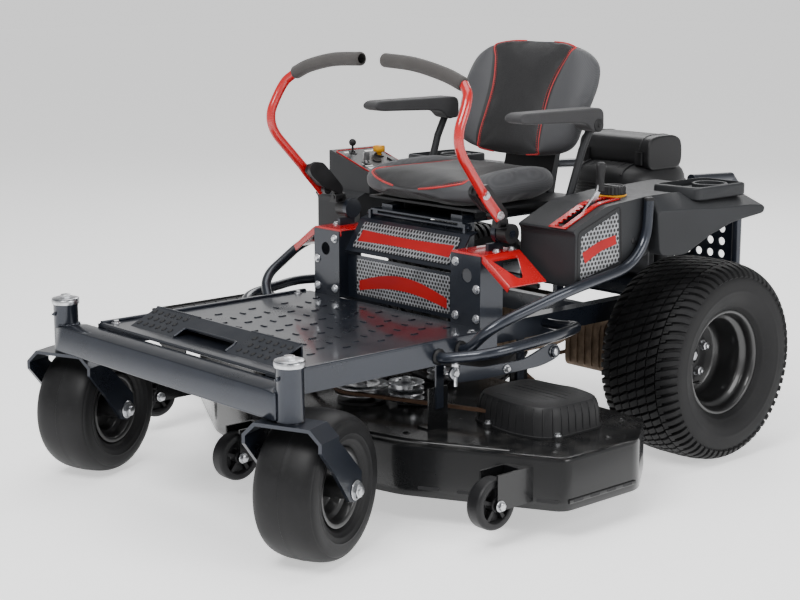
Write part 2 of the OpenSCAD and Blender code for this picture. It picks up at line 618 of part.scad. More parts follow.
// three ears for the gauge wheels, four lift ears, the front link and the chute's hinge knuckles
gauge_c = [[607, -907], [-64, -1105], [-684, -927]];
gauge_z = 100;
gauge_arm = 160;            // from a gauge wheel's axle back to the shell
chute_ears = [-760, -650, -540];
module deck_brackets() color("#141517") {
    difference() {
        union() {
            for (c = gauge_c) translate([c[0], c[1], 0]) {
                for (x = [-29, 24]) box([x, -8, gauge_z - 12], [x + 5, gauge_arm, gauge_z + 70]);
                box([-29, gauge_r + 4, gauge_z - 12], [29, gauge_arm, gauge_z + 70]);
                translate([0, 0, gauge_z]) along_x(-36, 36, 6);
            }
        }
        translate([0, 0, deck_z - 1]) linear_extrude(height = deck_h + 1) polygon(deck_outline(0));
    }
    both() ear(hanger_x_front, hanger_y_front);
    both() ear(hanger_x_rear, hanger_y_rear);
    for (y = chute_ears)
        box([chute_x - 8, y - 5, deck_top], [-deck_half + 20, y + 5, chute_z + 8]);
    translate([chute_x, chute_ears[0], chute_z]) rotate([-90, 0, 0])
        cylinder(h = chute_ears[2] - chute_ears[0], r = 4);
}
// one of the four ears that the deck hangs from
module ear(x, y) {
    box([x - 5, y - 30, deck_top], [x, y + 30, deck_top + 100]);
    box([x - 40, y - 30, deck_top], [x, y + 30, deck_top + 4]);
}
module gauge_wheel(c) color("#151618") translate([c[0], c[1], gauge_z])
    rotate([0, 90, 0]) rotate_extrude() polygon([[6 + fit, -21], [16, -21], [16, -8], [gauge_r - 16, -8],
        [gauge_r - 14, -20], [gauge_r - 4, -20], [gauge_r, -13], [gauge_r, 13], [gauge_r - 4, 20],
        [gauge_r - 14, 20], [gauge_r - 16, 8], [16, 8], [16, 21], [6 + fit, 21]]);
module gauge_wheel_l() gauge_wheel(gauge_c[0]);
module gauge_wheel_c() gauge_wheel(gauge_c[1]);
module gauge_wheel_r() gauge_wheel(gauge_c[2]);
chute_x = -deck_half - 8;
chute_z = deck_top + 8;
chute_y0 = -800;
chute_y1 = -370;
// a deflector that rises outwards from its hinge, with a wall at each end
module discharge_chute() color("#141416") translate([chute_x, 0, chute_z]) {
    out = -chute_reach - chute_x;
    difference() {
        union() {
            front_plate(chute_y0, chute_y1, [[0, -5], [0, 5], [out, 98], [out, 92]]);
            for (y = [chute_y0, chute_y1 - 4])
                front_plate(y, y + 4, [[0, 0], [out, 94], [out + 12, 10], [-60, -36], [0, -5]]);
            for (i = [0, 1]) translate([0, chute_ears[i] + 5.5, 0]) rotate([-90, 0, 0])
                cylinder(h = chute_ears[i + 1] - chute_ears[i] - 11, r = 8);
        }
        for (y = chute_ears) box([-12, y - 5.5, -20], [20, y + 5.5, 20]);
        box([-9.5, chute_y0 - 1, -20], [20, chute_ears[0], 20]);
        box([-9.5, chute_ears[2], -20], [20, chute_y1 + 1, 20]);
        translate([0, chute_ears[0], 0]) rotate([-90, 0, 0])
            cylinder(h = chute_ears[2] - chute_ears[0], r = 4 + fit);
    }
}

// --- the sub-parts ---
at_middle() frame_rails();
at_middle() front_beam();
at_middle() floor_pan();
at_middle() foot_step();
at_middle() front_panels();
at_middle() uprights();
at_middle() guard_plates();
at_middle() guard_tubes();
at_middle() rear_bumper();
at_middle() engine_plate();
at_middle() console_l();
at_middle() console_r();
at_middle() fenders();
at_middle() control_panel();
at_middle() engine_block();
at_middle() engine_cover();
at_middle() muffler();
at_middle() hydro_units();
at_middle() crankshaft();
at_middle() pto_knob();
at_middle() ignition_key();
at_middle() throttle_lever();
at_middle() fuel_cap();
at_middle() rear_rim_l();
at_middle() rear_rim_r();
at_middle() rear_tyre_l();
at_middle() rear_tyre_r();
at_middle() caster_fork_l();
at_middle() caster_fork_r();
at_middle() caster_rim_l();
at_middle() caster_rim_r();
at_middle() caster_tyre_l();
at_middle() caster_tyre_r();
at_middle() seat_base();
at_middle() seat_pan();
at_middle() seat_cushion();
at_middle() seat_back();
at_middle() armrest_l();
at_middle() armrest_r();
at_middle() lever_yoke_l();
at_middle() lever_yoke_r();
at_middle() lever_bracket_l();
at_middle() lever_bracket_r();
at_middle() lap_bar_l();
at_middle() lap_bar_r();
at_middle() grip_l();
at_middle() grip_r();
at_middle() height_lever();
at_middle() deck_shell();
at_middle() belt_covers();
at_middle() discharge_chute();
at_middle() deck_belt();
at_middle() deck_brackets();
at_middle() spindle_housings();
at_middle() blade_l();
at_middle() blade_c();
at_middle() blade_r();
at_middle() gauge_wheel_l();
at_middle() gauge_wheel_c();
at_middle() gauge_wheel_r();
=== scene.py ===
"""Zero turn mower: finished surfaces, materials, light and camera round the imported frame."""
import math

import bmesh
import bpy
import numpy as np
from mathutils import Matrix, Vector


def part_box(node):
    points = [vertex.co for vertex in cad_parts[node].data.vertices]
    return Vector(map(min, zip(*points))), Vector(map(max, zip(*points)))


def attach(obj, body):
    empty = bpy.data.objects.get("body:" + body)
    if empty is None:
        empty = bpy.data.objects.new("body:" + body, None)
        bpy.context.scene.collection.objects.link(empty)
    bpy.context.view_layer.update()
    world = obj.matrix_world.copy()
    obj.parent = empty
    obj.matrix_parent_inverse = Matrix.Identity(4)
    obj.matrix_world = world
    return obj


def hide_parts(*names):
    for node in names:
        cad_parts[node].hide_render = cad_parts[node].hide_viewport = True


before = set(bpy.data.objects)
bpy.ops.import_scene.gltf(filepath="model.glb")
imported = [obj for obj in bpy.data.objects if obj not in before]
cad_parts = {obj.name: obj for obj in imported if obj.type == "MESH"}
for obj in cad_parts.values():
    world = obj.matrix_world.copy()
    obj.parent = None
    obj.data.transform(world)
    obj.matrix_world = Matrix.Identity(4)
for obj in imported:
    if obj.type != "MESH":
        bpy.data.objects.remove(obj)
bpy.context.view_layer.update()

TURN = 2 * math.pi

# The mid-plane and the rear axle, which every place below is counted from, in millimetres.
# x is towards the operator's left, y towards the back, z up from the ground.
tyre_l, tyre_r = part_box("rear_tyre_l"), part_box("rear_tyre_r")
ORIGIN = np.array([(tyre_l[0].x + tyre_r[1].x) / 2, (tyre_l[0].y + tyre_l[1].y) / 2, 0.0])


def row(places):
    """Millimetres from the mid-plane, axle and ground, as metres in the row frame."""
    return ORIGIN + np.asarray(places, float) / 1000


def node_box(node):
    """A CAD node's corners in millimetres from the mid-plane, axle and ground."""
    low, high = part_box(node)
    return (np.array(low) - ORIGIN) * 1000, (np.array(high) - ORIGIN) * 1000


# ---------------------------------------------------------------- finishes

class Tone:
    """A socket of a finish; the sums that the finishes use are written as operators."""

    def __init__(self, finish, socket):
        self.finish, self.socket = finish, socket

    def math(self, operation, *values):
        sockets = dict(enumerate(values))
        return self.finish.node("ShaderNodeMath", {"operation": operation}, sockets)

    def __add__(self, other):
        return self.math("ADD", self, other)

    __radd__ = __add__

    def __sub__(self, other):
        return self.math("SUBTRACT", self, other)

    def __rsub__(self, other):
        return self.math("SUBTRACT", other, self)

    def __mul__(self, other):
        return self.math("MULTIPLY", self, other)

    __rmul__ = __mul__

    def __truediv__(self, other):
        return self.math("DIVIDE", self, other)

    def ramp(self, low, high):
        """0 below low, 1 above high, and smooth between them."""
        settings = {"interpolation_type": "SMOOTHSTEP"}
        return self.finish.node("ShaderNodeMapRange", settings,
                                {0: self, 1: low, 2: high, 3: 0.0, 4: 1.0})

    def sine(self):
        return self.math("SINE", self)

    def modulo(self, step):
        return self.math("FLOORED_MODULO", self, step)

    def smallest(self, other):
        return self.math("MINIMUM", self, other)


class Finish:
    """A material: node() adds any node and surface() ends it in the shader."""

    def __init__(self, name):
        self.material = bpy.data.materials.new(name)
        self.material.use_nodes = True
        self.tree = self.material.node_tree
        self.tree.nodes.clear()
        self.place = self.node("ShaderNodeTexCoord", out="Object")

    def node(self, kind, settings=None, sockets=None, out=0):
        made = self.tree.nodes.new(kind)
        for key, value in (settings or {}).items():
            setattr(made, key, value)
        for key, value in (sockets or {}).items():
            if isinstance(value, Tone):
                self.tree.links.new(value.socket, made.inputs[key])
            else:
                made.inputs[key].default_value = value
        return Tone(self, made.outputs[out]) if made.outputs else made

    def axes(self, place=None):
        """The three numbers of a place."""
        sockets = {0: place or self.place}
        split = self.node("ShaderNodeSeparateXYZ", None, sockets)
        return [Tone(self, o) for o in split.socket.node.outputs]

    def stretched(self, x, y, z):
        """The place with each axis counted at its own rate."""
        return self.node("ShaderNodeVectorMath", {"operation": "MULTIPLY"},
                         {0: self.place, 1: (x, y, z)})

    def noise(self, scale, detail=2.0, place=None):
        return self.node("ShaderNodeTexNoise", None,
                         {"Vector": place or self.place, "Scale": scale, "Detail": detail})

    def cells(self, scale, place=None, feature="F1", out="Distance"):
        return self.node("ShaderNodeTexVoronoi", {"feature": feature},
                         {"Vector": place or self.place, "Scale": scale}, out)

    def mix(self, factor, first, second):
        return self.node("ShaderNodeMix", {"data_type": "RGBA"},
                         {0: factor, 6: first, 7: second}, 2)

    def up(self):
        """How far a surface faces up, from -1 to 1."""
        normal = self.node("ShaderNodeNewGeometry", out="Normal")
        return self.axes(normal)[2]

    def bump(self, height, depth, under=None):
        """Height, from 0 to 1, as relief of the depth given in millimetres."""
        sockets = {"Height": height, "Distance": depth / 1000, "Strength": 1.0}
        if under is not None:
            sockets["Normal"] = under
        return self.node("ShaderNodeBump", None, sockets)

    def surface(self, colour, roughness, normal=None, **constants):
        sockets = {"Base Color": colour, "Roughness": roughness}
        if normal is not None:
            sockets["Normal"] = normal
        sockets.update({key.replace("_", " "): value for key, value in constants.items()})
        shader = self.node("ShaderNodeBsdfPrincipled", None, sockets)
        self.node("ShaderNodeOutputMaterial", None, {"Surface": shader})
        return self.material


def tint(colour, factor=1.0):
    """A colour, lighter or darker by factor, with its fourth number."""
    return tuple(min(c * factor, 1.0) for c in colour) + (1.0,)


def coating(name, colour, rough, mottle=0.12, spread=0.08, grain=900.0, depth=0.02,
            dust=0.0, fleck=0.0, **constants):
    """Paint, plastic or metal: the colour drifts a little over the part, roughness drifts with
    it, a fine grain gives relief, dust lightens what faces up and fleck adds metal flake."""
    f = Finish(name)
    drift = f.noise(7.0, 4.0)
    colours = f.mix(drift.ramp(0.3, 0.7), tint(colour, 1 - mottle), tint(colour, 1 + mottle))
    if fleck:
        flake = f.cells(2600.0, out="Color")
        spark = f.axes(flake)[0].ramp(0.55, 1.0) * fleck
        colours = f.mix(spark, colours, tint(colour, 3.2))
    if dust:
        settled = f.up().ramp(0.55, 1.0) * f.noise(23.0, 5.0).ramp(0.35, 0.75) * dust
        colours = f.mix(settled, colours, (0.30, 0.29, 0.27, 1.0))
    fine = f.noise(grain, 2.0)
    roughness = (drift - 0.5) * (2 * spread) + (fine - 0.5) * spread + rough
    return f.surface(colours, roughness, f.bump(fine, depth), **constants)


def rubber(name, colour, rough):
    """Moulded rubber: dull, with a bloom where the noise is high and a fine matt grain."""
    f = Finish(name)
    bloom = f.noise(11.0, 6.0).ramp(0.42, 0.72)
    scuff = f.noise(95.0, 4.0).ramp(0.5, 0.8)
    colours = f.mix(bloom * 0.55, tint(colour), tint(colour, 2.1))
    colours = f.mix(scuff * 0.3, colours, tint(colour, 2.6))
    fine = f.noise(1500.0, 2.0)
    roughness = bloom * 0.12 + (rough - 0.04) + scuff * 0.05
    return f.surface(colours, roughness, f.bump(fine, 0.05), Specular_IOR_Level=0.22)


def brushed(name, colour, rough, stretch=(40.0, 900.0, 900.0)):
    """Drawn or plated steel: fine streaks along one axis and a cloudy zinc bloom."""
    f = Finish(name)
    streak = f.noise(1.0, 3.0, f.stretched(*stretch))
    bloom = f.noise(45.0, 4.0)
    colours = f.mix(bloom.ramp(0.35, 0.7), tint(colour, 0.78), tint(colour, 1.1))
    roughness = streak * 0.16 + bloom * 0.14 + (rough - 0.12)
    return f.surface(colours, roughness, f.bump(streak, 0.012), Metallic=1.0)


def cast(name, colour, rough, metallic):
    """A sand casting: pitted and uneven in colour, with painted highlight on the lumps that stand
    out and painted shade in the low places between them.
    """
    f = Finish(name)
    pits = f.noise(420.0, 6.0)
    lumps = f.noise(38.0, 5.0)
    # lumps sets both the bump and the colour: painted highlight where the relief rises, painted
    # shade where it sinks
    colours = f.mix(lumps.ramp(0.3, 0.7), tint(colour, 0.7), tint(colour, 1.25))
    colours = f.mix(pits.ramp(0.6, 0.75) * 0.5, colours, tint(colour, 0.45))
    relief = f.bump(lumps, 0.25, f.bump(pits, 0.10))
    return f.surface(colours, (pits - 0.5) * 0.2 + rough, relief, Metallic=metallic)


def moulded(name, colour, rough, pebble=760.0, depth=0.07):
    """Grained plastic: small pebbles, each with its own height, over a broad colour drift."""
    f = Finish(name)
    pebbles = f.cells(pebble)
    drift = f.noise(5.0, 4.0)
    colours = f.mix(drift.ramp(0.3, 0.7), tint(colour, 0.86), tint(colour, 1.14))
    colours = f.mix(f.up().ramp(0.7, 1.0) * 0.05, colours, (0.30, 0.30, 0.30, 1.0))
    roughness = (drift - 0.5) * 0.14 + pebbles.ramp(0.2, 0.9) * 0.08 + rough
    return f.surface(colours, roughness, f.bump(1 - pebbles.ramp(0.0, 0.9), depth),
                     Specular_IOR_Level=0.30)


def vinyl(name, colour, grain=430.0, rough=0.46):
    """Seat vinyl: a leather grain of uneven cells with creases between them, painted darker in the
    creases as painted shade, and a soft sheen.
    """
    f = Finish(name)
    wander = f.node("ShaderNodeVectorMath", {"operation": "MULTIPLY_ADD"},
                    {0: f.node("ShaderNodeTexNoise", None, {"Vector": f.place, "Scale": 60.0}, 1),
                     1: (0.006, 0.006, 0.006), 2: f.place})
    crease = f.cells(grain, wander, "DISTANCE_TO_EDGE").ramp(0.0, 0.28)
    drift = f.noise(9.0, 4.0)
    # the creases are painted darker: painted shade in the grain's hollows
    colours = f.mix(crease, tint(colour, 0.55), tint(colour, 1.0))
    colours = f.mix(drift.ramp(0.4, 0.75) * 0.35, colours, tint(colour, 1.45))
    relief = f.bump(crease, 0.16, f.bump(f.noise(22.0, 3.0), 0.8))
    roughness = (1 - crease) * 0.2 + (drift - 0.5) * 0.12 + rough
    return f.surface(colours, roughness, relief, Sheen_Weight=0.12, Sheen_Roughness=0.45)


def foam(name, colour):
    """Closed foam: open pores on a dull skin, the pores painted darker as painted shade in their
    hollows.
    """
    f = Finish(name)
    pores = f.cells(950.0).ramp(0.05, 0.55)
    drift = f.noise(30.0, 4.0)
    # the pores are painted darker: painted shade inside the open pores
    colours = f.mix(pores, tint(colour, 0.45), tint(colour, 1.0))
    colours = f.mix(drift.ramp(0.4, 0.8) * 0.4, colours, tint(colour, 1.5))
    return f.surface(colours, 0.9 - pores * 0.12, f.bump(pores, 0.12), Sheen_Weight=0.15)


def perforated(name, metal, hole, pitch=7.0, share=0.36, across=(1, 2)):
    """A printed sheet of round holes in staggered rows, pitch in millimetres: the distance to
    the nearest of two lattices decides between metal and hole. across names the sheet's two
    axes, and share is the hole's radius as a share of the pitch."""
    f = Finish(name)
    axes = f.axes()
    step, rise = pitch / 1000, pitch * math.sqrt(3) / 1000
    first = [axes[across[0]] / step, axes[across[1]] / rise]
    near = None
    for shift in (0.0, 0.5):
        u = ((first[0] + shift).modulo(1.0) - 0.5) * step
        v = ((first[1] + shift).modulo(1.0) - 0.5) * rise
        squared = u * u + v * v
        near = squared if near is None else near.smallest(squared)
    reach = near.math("SQRT", near) / step
    dark = 1 - reach.ramp(share - 0.06, share + 0.04)
    sheen = f.noise(26.0, 3.0).ramp(0.3, 0.7)
    plate = f.mix(sheen, tint(metal, 0.8), tint(metal, 1.15))
    colours = f.mix(dark, plate, tint(hole))
    return f.surface(colours, dark * 0.25 + 0.34, f.bump(1 - dark, 0.2), Metallic=0.35,
                     Coat_Weight=0.3)


GUNMETAL = (0.012, 0.0155, 0.024)
BLACK = (0.0055, 0.0057, 0.0062)
RED = (0.44, 0.002, 0.004)

frame_paint = coating("gunmetal_paint", GUNMETAL, 0.30, fleck=0.30, dust=0.05, depth=0.012,
                      grain=300.0, Metallic=0.55, Coat_Weight=0.55, Coat_Roughness=0.10)
deck_paint = coating("gloss_black_paint", BLACK, 0.25, dust=0.06, grain=240.0, depth=0.02,
                     Specular_IOR_Level=0.28, Coat_Weight=0.3, Coat_Roughness=0.1)
red_paint = coating("gloss_red_paint", RED, 0.26, mottle=0.06, grain=260.0, depth=0.012,
                    Coat_Weight=0.7, Coat_Roughness=0.07)
body_plastic = moulded("charcoal_plastic", (0.016, 0.017, 0.019), 0.46)
cover_plastic = moulded("engine_cover_plastic", (0.011, 0.011, 0.012), 0.38, 1100.0, 0.04)
black_plastic = moulded("black_plastic", (0.008, 0.008, 0.009), 0.42, 1300.0, 0.04)
belt_cover_plastic = moulded("belt_cover_plastic", (0.010, 0.010, 0.011), 0.44, 520.0, 0.10)
yellow_plastic = moulded("yellow_plastic", (0.74, 0.33, 0.010), 0.36, 1300.0, 0.03)
red_plastic = moulded("red_plastic", (0.33, 0.002, 0.004), 0.50, 1300.0, 0.03)
engine_metal = cast("dark_engine_casting", (0.070, 0.072, 0.076), 0.46, 0.7)
hydro_cast = cast("tan_casting", (0.15, 0.105, 0.07), 0.55, 0.6)
black_cast = cast("black_casting", (0.013, 0.013, 0.014), 0.40, 0.15)
steel = brushed("ground_steel", (0.46, 0.46, 0.47), 0.30)
zinc = brushed("zinc_plate", (0.62, 0.63, 0.65), 0.27, (300.0, 300.0, 60.0))
muffler_steel = brushed("heated_steel", (0.26, 0.24, 0.22), 0.42)
rim_paint = coating("rim_black_paint", (0.007, 0.007, 0.0075), 0.42, grain=220.0, depth=0.02,
                    Coat_Weight=0.5, Coat_Roughness=0.1)
tyre_rubber = rubber("tyre_rubber", (0.0075, 0.0075, 0.0080), 0.60)
caster_rubber = rubber("caster_rubber", (0.0075, 0.0075, 0.0080), 0.50)
belt_rubber = rubber("belt_rubber", (0.085, 0.048, 0.030), 0.72)
seat_vinyl = vinyl("charcoal_vinyl", (0.024, 0.024, 0.026))
piping_vinyl = vinyl("red_piping", (0.50, 0.014, 0.016), 700.0, 0.4)
arm_foam = foam("arm_foam", (0.022, 0.022, 0.024))
grip_foam = foam("grip_foam", (0.040, 0.036, 0.034))
mesh_print = perforated("perforated_print", (0.27, 0.275, 0.29), (0.006, 0.006, 0.0065), 12.0)
mesh_front = perforated("perforated_front", (0.27, 0.275, 0.29), (0.006, 0.006, 0.0065), 11.0,
                        across=(0, 2))

# The finish of each CAD node that shows as it is.
CARRIED = {
    frame_paint: ("frame_rails", "front_beam", "floor_pan", "foot_step", "front_panels",
                  "uprights", "guard_tubes", "rear_bumper", "engine_plate", "seat_base",
                  "caster_fork_l", "caster_fork_r"),
    red_paint: ("guard_plates", "lap_bar_l", "lap_bar_r"),
    deck_paint: ("deck_shell", "deck_brackets"),
    body_plastic: ("console_l", "console_r", "fenders", "control_panel", "seat_pan"),
    cover_plastic: ("engine_cover",),
    engine_metal: ("engine_block",),
    muffler_steel: ("muffler",),
    hydro_cast: ("hydro_units",),
    steel: ("crankshaft", "ignition_key", "blade_l", "blade_c", "blade_r"),
    zinc: ("height_lever",),
    black_plastic: ("fuel_cap", "throttle_lever", "gauge_wheel_l", "gauge_wheel_c",
                    "gauge_wheel_r"),
    yellow_plastic: ("pto_knob",),
    rim_paint: ("rear_rim_l", "rear_rim_r", "caster_rim_l", "caster_rim_r"),
    tyre_rubber: ("rear_tyre_l", "rear_tyre_r"),
    caster_rubber: ("caster_tyre_l", "caster_tyre_r"),
    seat_vinyl: ("seat_cushion", "seat_back"),
    arm_foam: ("armrest_l", "armrest_r"),
    grip_foam: ("grip_l", "grip_r"),
    black_cast: ("lever_yoke_l", "lever_yoke_r", "lever_bracket_l", "lever_bracket_r",
                 "spindle_housings"),
    belt_cover_plastic: ("belt_covers", "discharge_chute"),
    belt_rubber: ("deck_belt",),
}
for finish, names in CARRIED.items():
    for name in names:
        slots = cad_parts[name].data.materials
        if len(slots):
            for index in range(len(slots)):
                slots[index] = finish
        else:
            slots.append(finish)


# ------------------------------------------------------------------ shapes
# A shape is its points, in millimetres, and its faces, as lists of point numbers.

X_AXIS, Y_AXIS, Z_AXIS = (1, 0, 0), (0, 1, 0), (0, 0, 1)
ALONG_SIDE = (Y_AXIS, Z_AXIS)              # the two directions of a side view's outline
SIDE_VIEW = ((0, 0, 0), *ALONG_SIDE)
FRONT_VIEW = ((0, 0, 0), X_AXIS, Z_AXIS)


def unit(v):
    v = np.asarray(v, float)
    return v / np.linalg.norm(v, axis=-1, keepdims=True)


def grid(points, wrap_rows=False, wrap_columns=False):
    """Rows by columns of points joined by quads; a wrap joins the last back to the first."""
    rows, columns = points.shape[:2]
    number = np.arange(rows * columns).reshape(rows, columns)
    if wrap_rows:
        number = np.vstack([number, number[:1]])
    if wrap_columns:
        number = np.hstack([number, number[:, :1]])
    quads = np.stack([number[:-1, :-1], number[1:, :-1], number[1:, 1:], number[:-1, 1:]], -1)
    return points.reshape(-1, 3), quads.reshape(-1, 4).tolist()


def join(*shapes):
    """Several shapes as one."""
    starts = np.cumsum([0] + [len(points) for points, _ in shapes])
    faces = [[i + start for i in face] for (_, f), start in zip(shapes, starts) for face in f]
    return np.vstack([points for points, _ in shapes]), faces


def copies(shape, places):
    """The shape's points taken through places, an array (m, n, 3) of where each copy's go."""
    m, n = places.shape[:2]
    faces = [[i + k * n for i in face] for k in range(m) for face in shape[1]]
    return places.reshape(-1, 3), faces


def moved(shape, offset):
    return shape[0] + np.asarray(offset, float), shape[1]


def mirrored(shape):
    """The same shape on the other side of the mid-plane."""
    return shape[0] * (-1, 1, 1), [face[::-1] for face in shape[1]]


def as_drawn(shape):
    return shape


SIDES = (("l", as_drawn), ("r", mirrored))


def both_sides(shape):
    return join(shape, mirrored(shape))


def rotation(axis, angle):
    return np.array(Matrix.Rotation(angle, 3, Vector(axis)))


def turned(shape, centre, axis, angle):
    """The shape turned about an axis through centre."""
    centre = np.asarray(centre, float)
    return (shape[0] - centre) @ rotation(axis, angle).T + centre, shape[1]


def around(shape, centre, axis, count, start=0.0):
    """count copies of the shape, evenly round an axis."""
    return join(*[turned(shape, centre, axis, start + TURN * k / count) for k in range(count)])


def square_to(axis):
    """Two unit directions square to an axis."""
    axis = unit(axis)
    helper = (0, 0, 1) if abs(axis[2]) < 0.9 else (0, 1, 0)
    first = unit(np.cross(helper, axis))
    return first, np.cross(axis, first)


def lathe(profile, centre, axis, sides=64, loop=False):
    """A profile of (along, out) pairs goes round an axis:
    centre + along·axis + out·(cos a·e1 + sin a·e2)."""
    profile = np.asarray(profile, float)
    angle = np.arange(sides) * TURN / sides
    first, second = square_to(axis)
    spoke = np.cos(angle)[:, None] * first + np.sin(angle)[:, None] * second
    points = (np.asarray(centre, float) + profile[:, None, :1] * unit(axis)
              + profile[:, None, 1:] * spoke[None])
    return grid(points, loop, True)


def circle(radius, count=20):
    angle = np.arange(count) * TURN / count
    return radius * np.stack([np.cos(angle), np.sin(angle)], -1)


def bend(points, radius, steps=8, closed=False):
    """Straight runs with rounded corners: at a corner c the path is
    (1-t)²·a + 2t(1-t)·c + t²·b, with a and b up to radius before and after it."""
    points = np.asarray(points, float)
    corner = points if closed else points[1:-1]
    before = np.roll(points, 1, 0) if closed else points[:-2]
    after = np.roll(points, -1, 0) if closed else points[2:]

    def near(other):
        away = other - corner
        length = np.linalg.norm(away, axis=1, keepdims=True)
        return corner + away / length * np.minimum(radius, 0.46 * length)

    t = np.linspace(0, 1, steps)[:, None]
    a, b = near(before)[:, None], near(after)[:, None]
    curve = (1 - t) ** 2 * a + 2 * t * (1 - t) * corner[:, None] + t ** 2 * b
    curve = curve.reshape(-1, points.shape[1])
    return curve if closed else np.vstack([points[:1], curve, points[-1:]])


def through(points, steps=10):
    """A smooth curve through points: on each span the cubic whose end slopes are half of the
    step between the neighbours."""
    p = np.asarray(points, float)
    p = np.vstack([2 * p[0] - p[1], p, 2 * p[-1] - p[-2]])
    t = np.linspace(0, 1, steps, endpoint=False)[:, None]
    a, b, c, d = (x[:, None] for x in (p[:-3], p[1:-2], p[2:-1], p[3:]))
    curve = 0.5 * (2 * b + (c - a) * t + (2 * a - 5 * b + 4 * c - d) * t ** 2
                   + (3 * b - a - 3 * c + d) * t ** 3)
    return np.vstack([curve.reshape(-1, p.shape[1]), p[-2]])


def sweep(path, profile, across=None, size=1.0, loop=False):
    """A closed profile (k, 2) carried along a path, closed at its ends:
    path + size·(u·side + v·over), with side the part of across that is square to the path."""
    path = np.asarray(path, float)
    if loop:
        run = unit(np.roll(path, -1, 0) - np.roll(path, 1, 0))
    else:
        run = unit(np.gradient(path, axis=0))
    if across is None:
        across = np.linalg.svd(run)[2][-1]
    across = np.broadcast_to(np.asarray(across, float), path.shape)
    side = unit(across - (across * run).sum(1, keepdims=True) * run)
    over = np.cross(run, side)
    size = np.asarray(size, float)
    size = np.broadcast_to(size[:, None] if size.ndim == 1 else size, (len(path), 2))[:, None]
    flat = size * profile[None]
    points = path[:, None] + flat[..., :1] * side[:, None] + flat[..., 1:] * over[:, None]
    if loop:
        return grid(points, True, True)
    ends = [np.repeat(path[i:i + 1, None], len(profile), 1) for i in (0, -1)]
    return grid(np.concatenate([ends[0], points, ends[1]]), False, True)


def tube(path, radius, sides=20):
    """A round bar along a path."""
    return sweep(path, circle(radius, sides))


def evenly(path, count):
    """A path's points moved along it to equal steps."""
    path = np.asarray(path, float)
    length = np.append(0, np.cumsum(np.linalg.norm(np.diff(path, axis=0), axis=1)))
    at = np.linspace(0, length[-1], count)
    return np.stack([np.interp(at, length, path[:, k]) for k in range(path.shape[1])], -1)


def soft_bar(path, radius, soft, count=48, sides=24):
    """A round bar whose ends are rounded over: d from an end its radius is
    r - s + sqrt(s² - (s - d)²) where d is below s."""
    path = np.asarray(path, float)
    length = np.append(0, np.cumsum(np.linalg.norm(np.diff(path, axis=0), axis=1)))
    edge = soft * np.array([0.0, 0.08, 0.25, 0.55, 1.0])
    at = np.concatenate([edge, np.linspace(soft * 1.5, length[-1] - soft * 1.5, count),
                         length[-1] - edge[::-1]])
    fine = np.stack([np.interp(at, length, path[:, k]) for k in range(3)], -1)
    inside = np.clip(np.minimum(at, length[-1] - at), 0, soft)
    drop = soft - np.sqrt(soft ** 2 - (soft - inside) ** 2)
    return sweep(fine, circle(1.0, sides), size=radius - drop)


def slab(outline, low, high, origin=(0, 0, 0), u=(1, 0, 0), v=(0, 1, 0)):
    """A flat outline given thickness: origin + a·u + b·v + c·w, c from low to high, with
    w = u × v."""
    outline = np.asarray(outline, float)
    u, v = unit(u), unit(v)
    flat = np.asarray(origin, float) + outline[:, :1] * u + outline[:, 1:] * v
    w = np.cross(u, v)
    count = len(outline)
    points = np.vstack([flat + low * w, flat + high * w])
    ring = np.arange(count)
    after = np.roll(ring, -1)
    sides = np.stack([ring, after, after + count, ring + count], -1).tolist()
    return points, sides + [ring[::-1].tolist(), (ring + count).tolist()]


def rectangle(low, high, radius, steps):
    """A rectangle's outline from corner to corner, with its corners rounded."""
    (x0, y0), (x1, y1) = low, high
    return bend([(x0, y0), (x1, y0), (x1, y1), (x0, y1)], radius, steps, True)


def rounded(wide, high, radius, steps):
    """A rectangle's outline round the origin, from its half width and half height."""
    return rectangle((-wide, -high), (wide, high), radius, steps)


def rounded_box(low, high, radius, steps=3):
    """A block whose upright edges are rounded in plan."""
    return slab(rectangle(low[:2], high[:2], radius, steps), low[2], high[2])


def upright(x, outline):
    """A side view's outline of (y, z) points as places at x."""
    return np.column_stack([np.full(len(outline), float(x)), outline])


def level(outline, z):
    """A plan outline of (x, y) points as places at a height."""
    return np.column_stack([outline, np.full(len(outline), float(z))])


def bolt(place, axis, across=13.0, head=6.0, washer=0.0):
    """A hexagon head with a chamfered top, a flange under it and perhaps a washer."""
    r = across / math.sqrt(3)
    parts = []
    start = 0.0
    if washer:
        parts.append(lathe([(0, 0), (0, washer), (1.4, washer), (2, washer - 0.6), (2, 0)],
                           place, axis, 28))
        start = 2.0
    parts.append(lathe([(start, 0), (start, r * 1.25), (start + 1.0, r * 1.2), (start + 1.4, 0)],
                       place, axis, 24))
    parts.append(lathe([(start + 1, 0), (start + 1, r), (start + head - 1, r),
                        (start + head, r * 0.84), (start + head, 0)], place, axis, 6))
    return join(*parts)


def coarse_thread(place, axis, radius, length, pitch=1.75):
    """A threaded end: the outline's radius falls and rises once in each pitch."""
    turns = int(length / pitch)
    along = np.linspace(0, length, turns * 2 + 1)
    out = radius - 0.55 * (np.arange(len(along)) % 2)
    profile = np.vstack([[0, 0], np.stack([along, out], -1), [length + 1, radius * 0.7],
                         [length + 1, 0]])
    return lathe(profile, place, axis, 16)


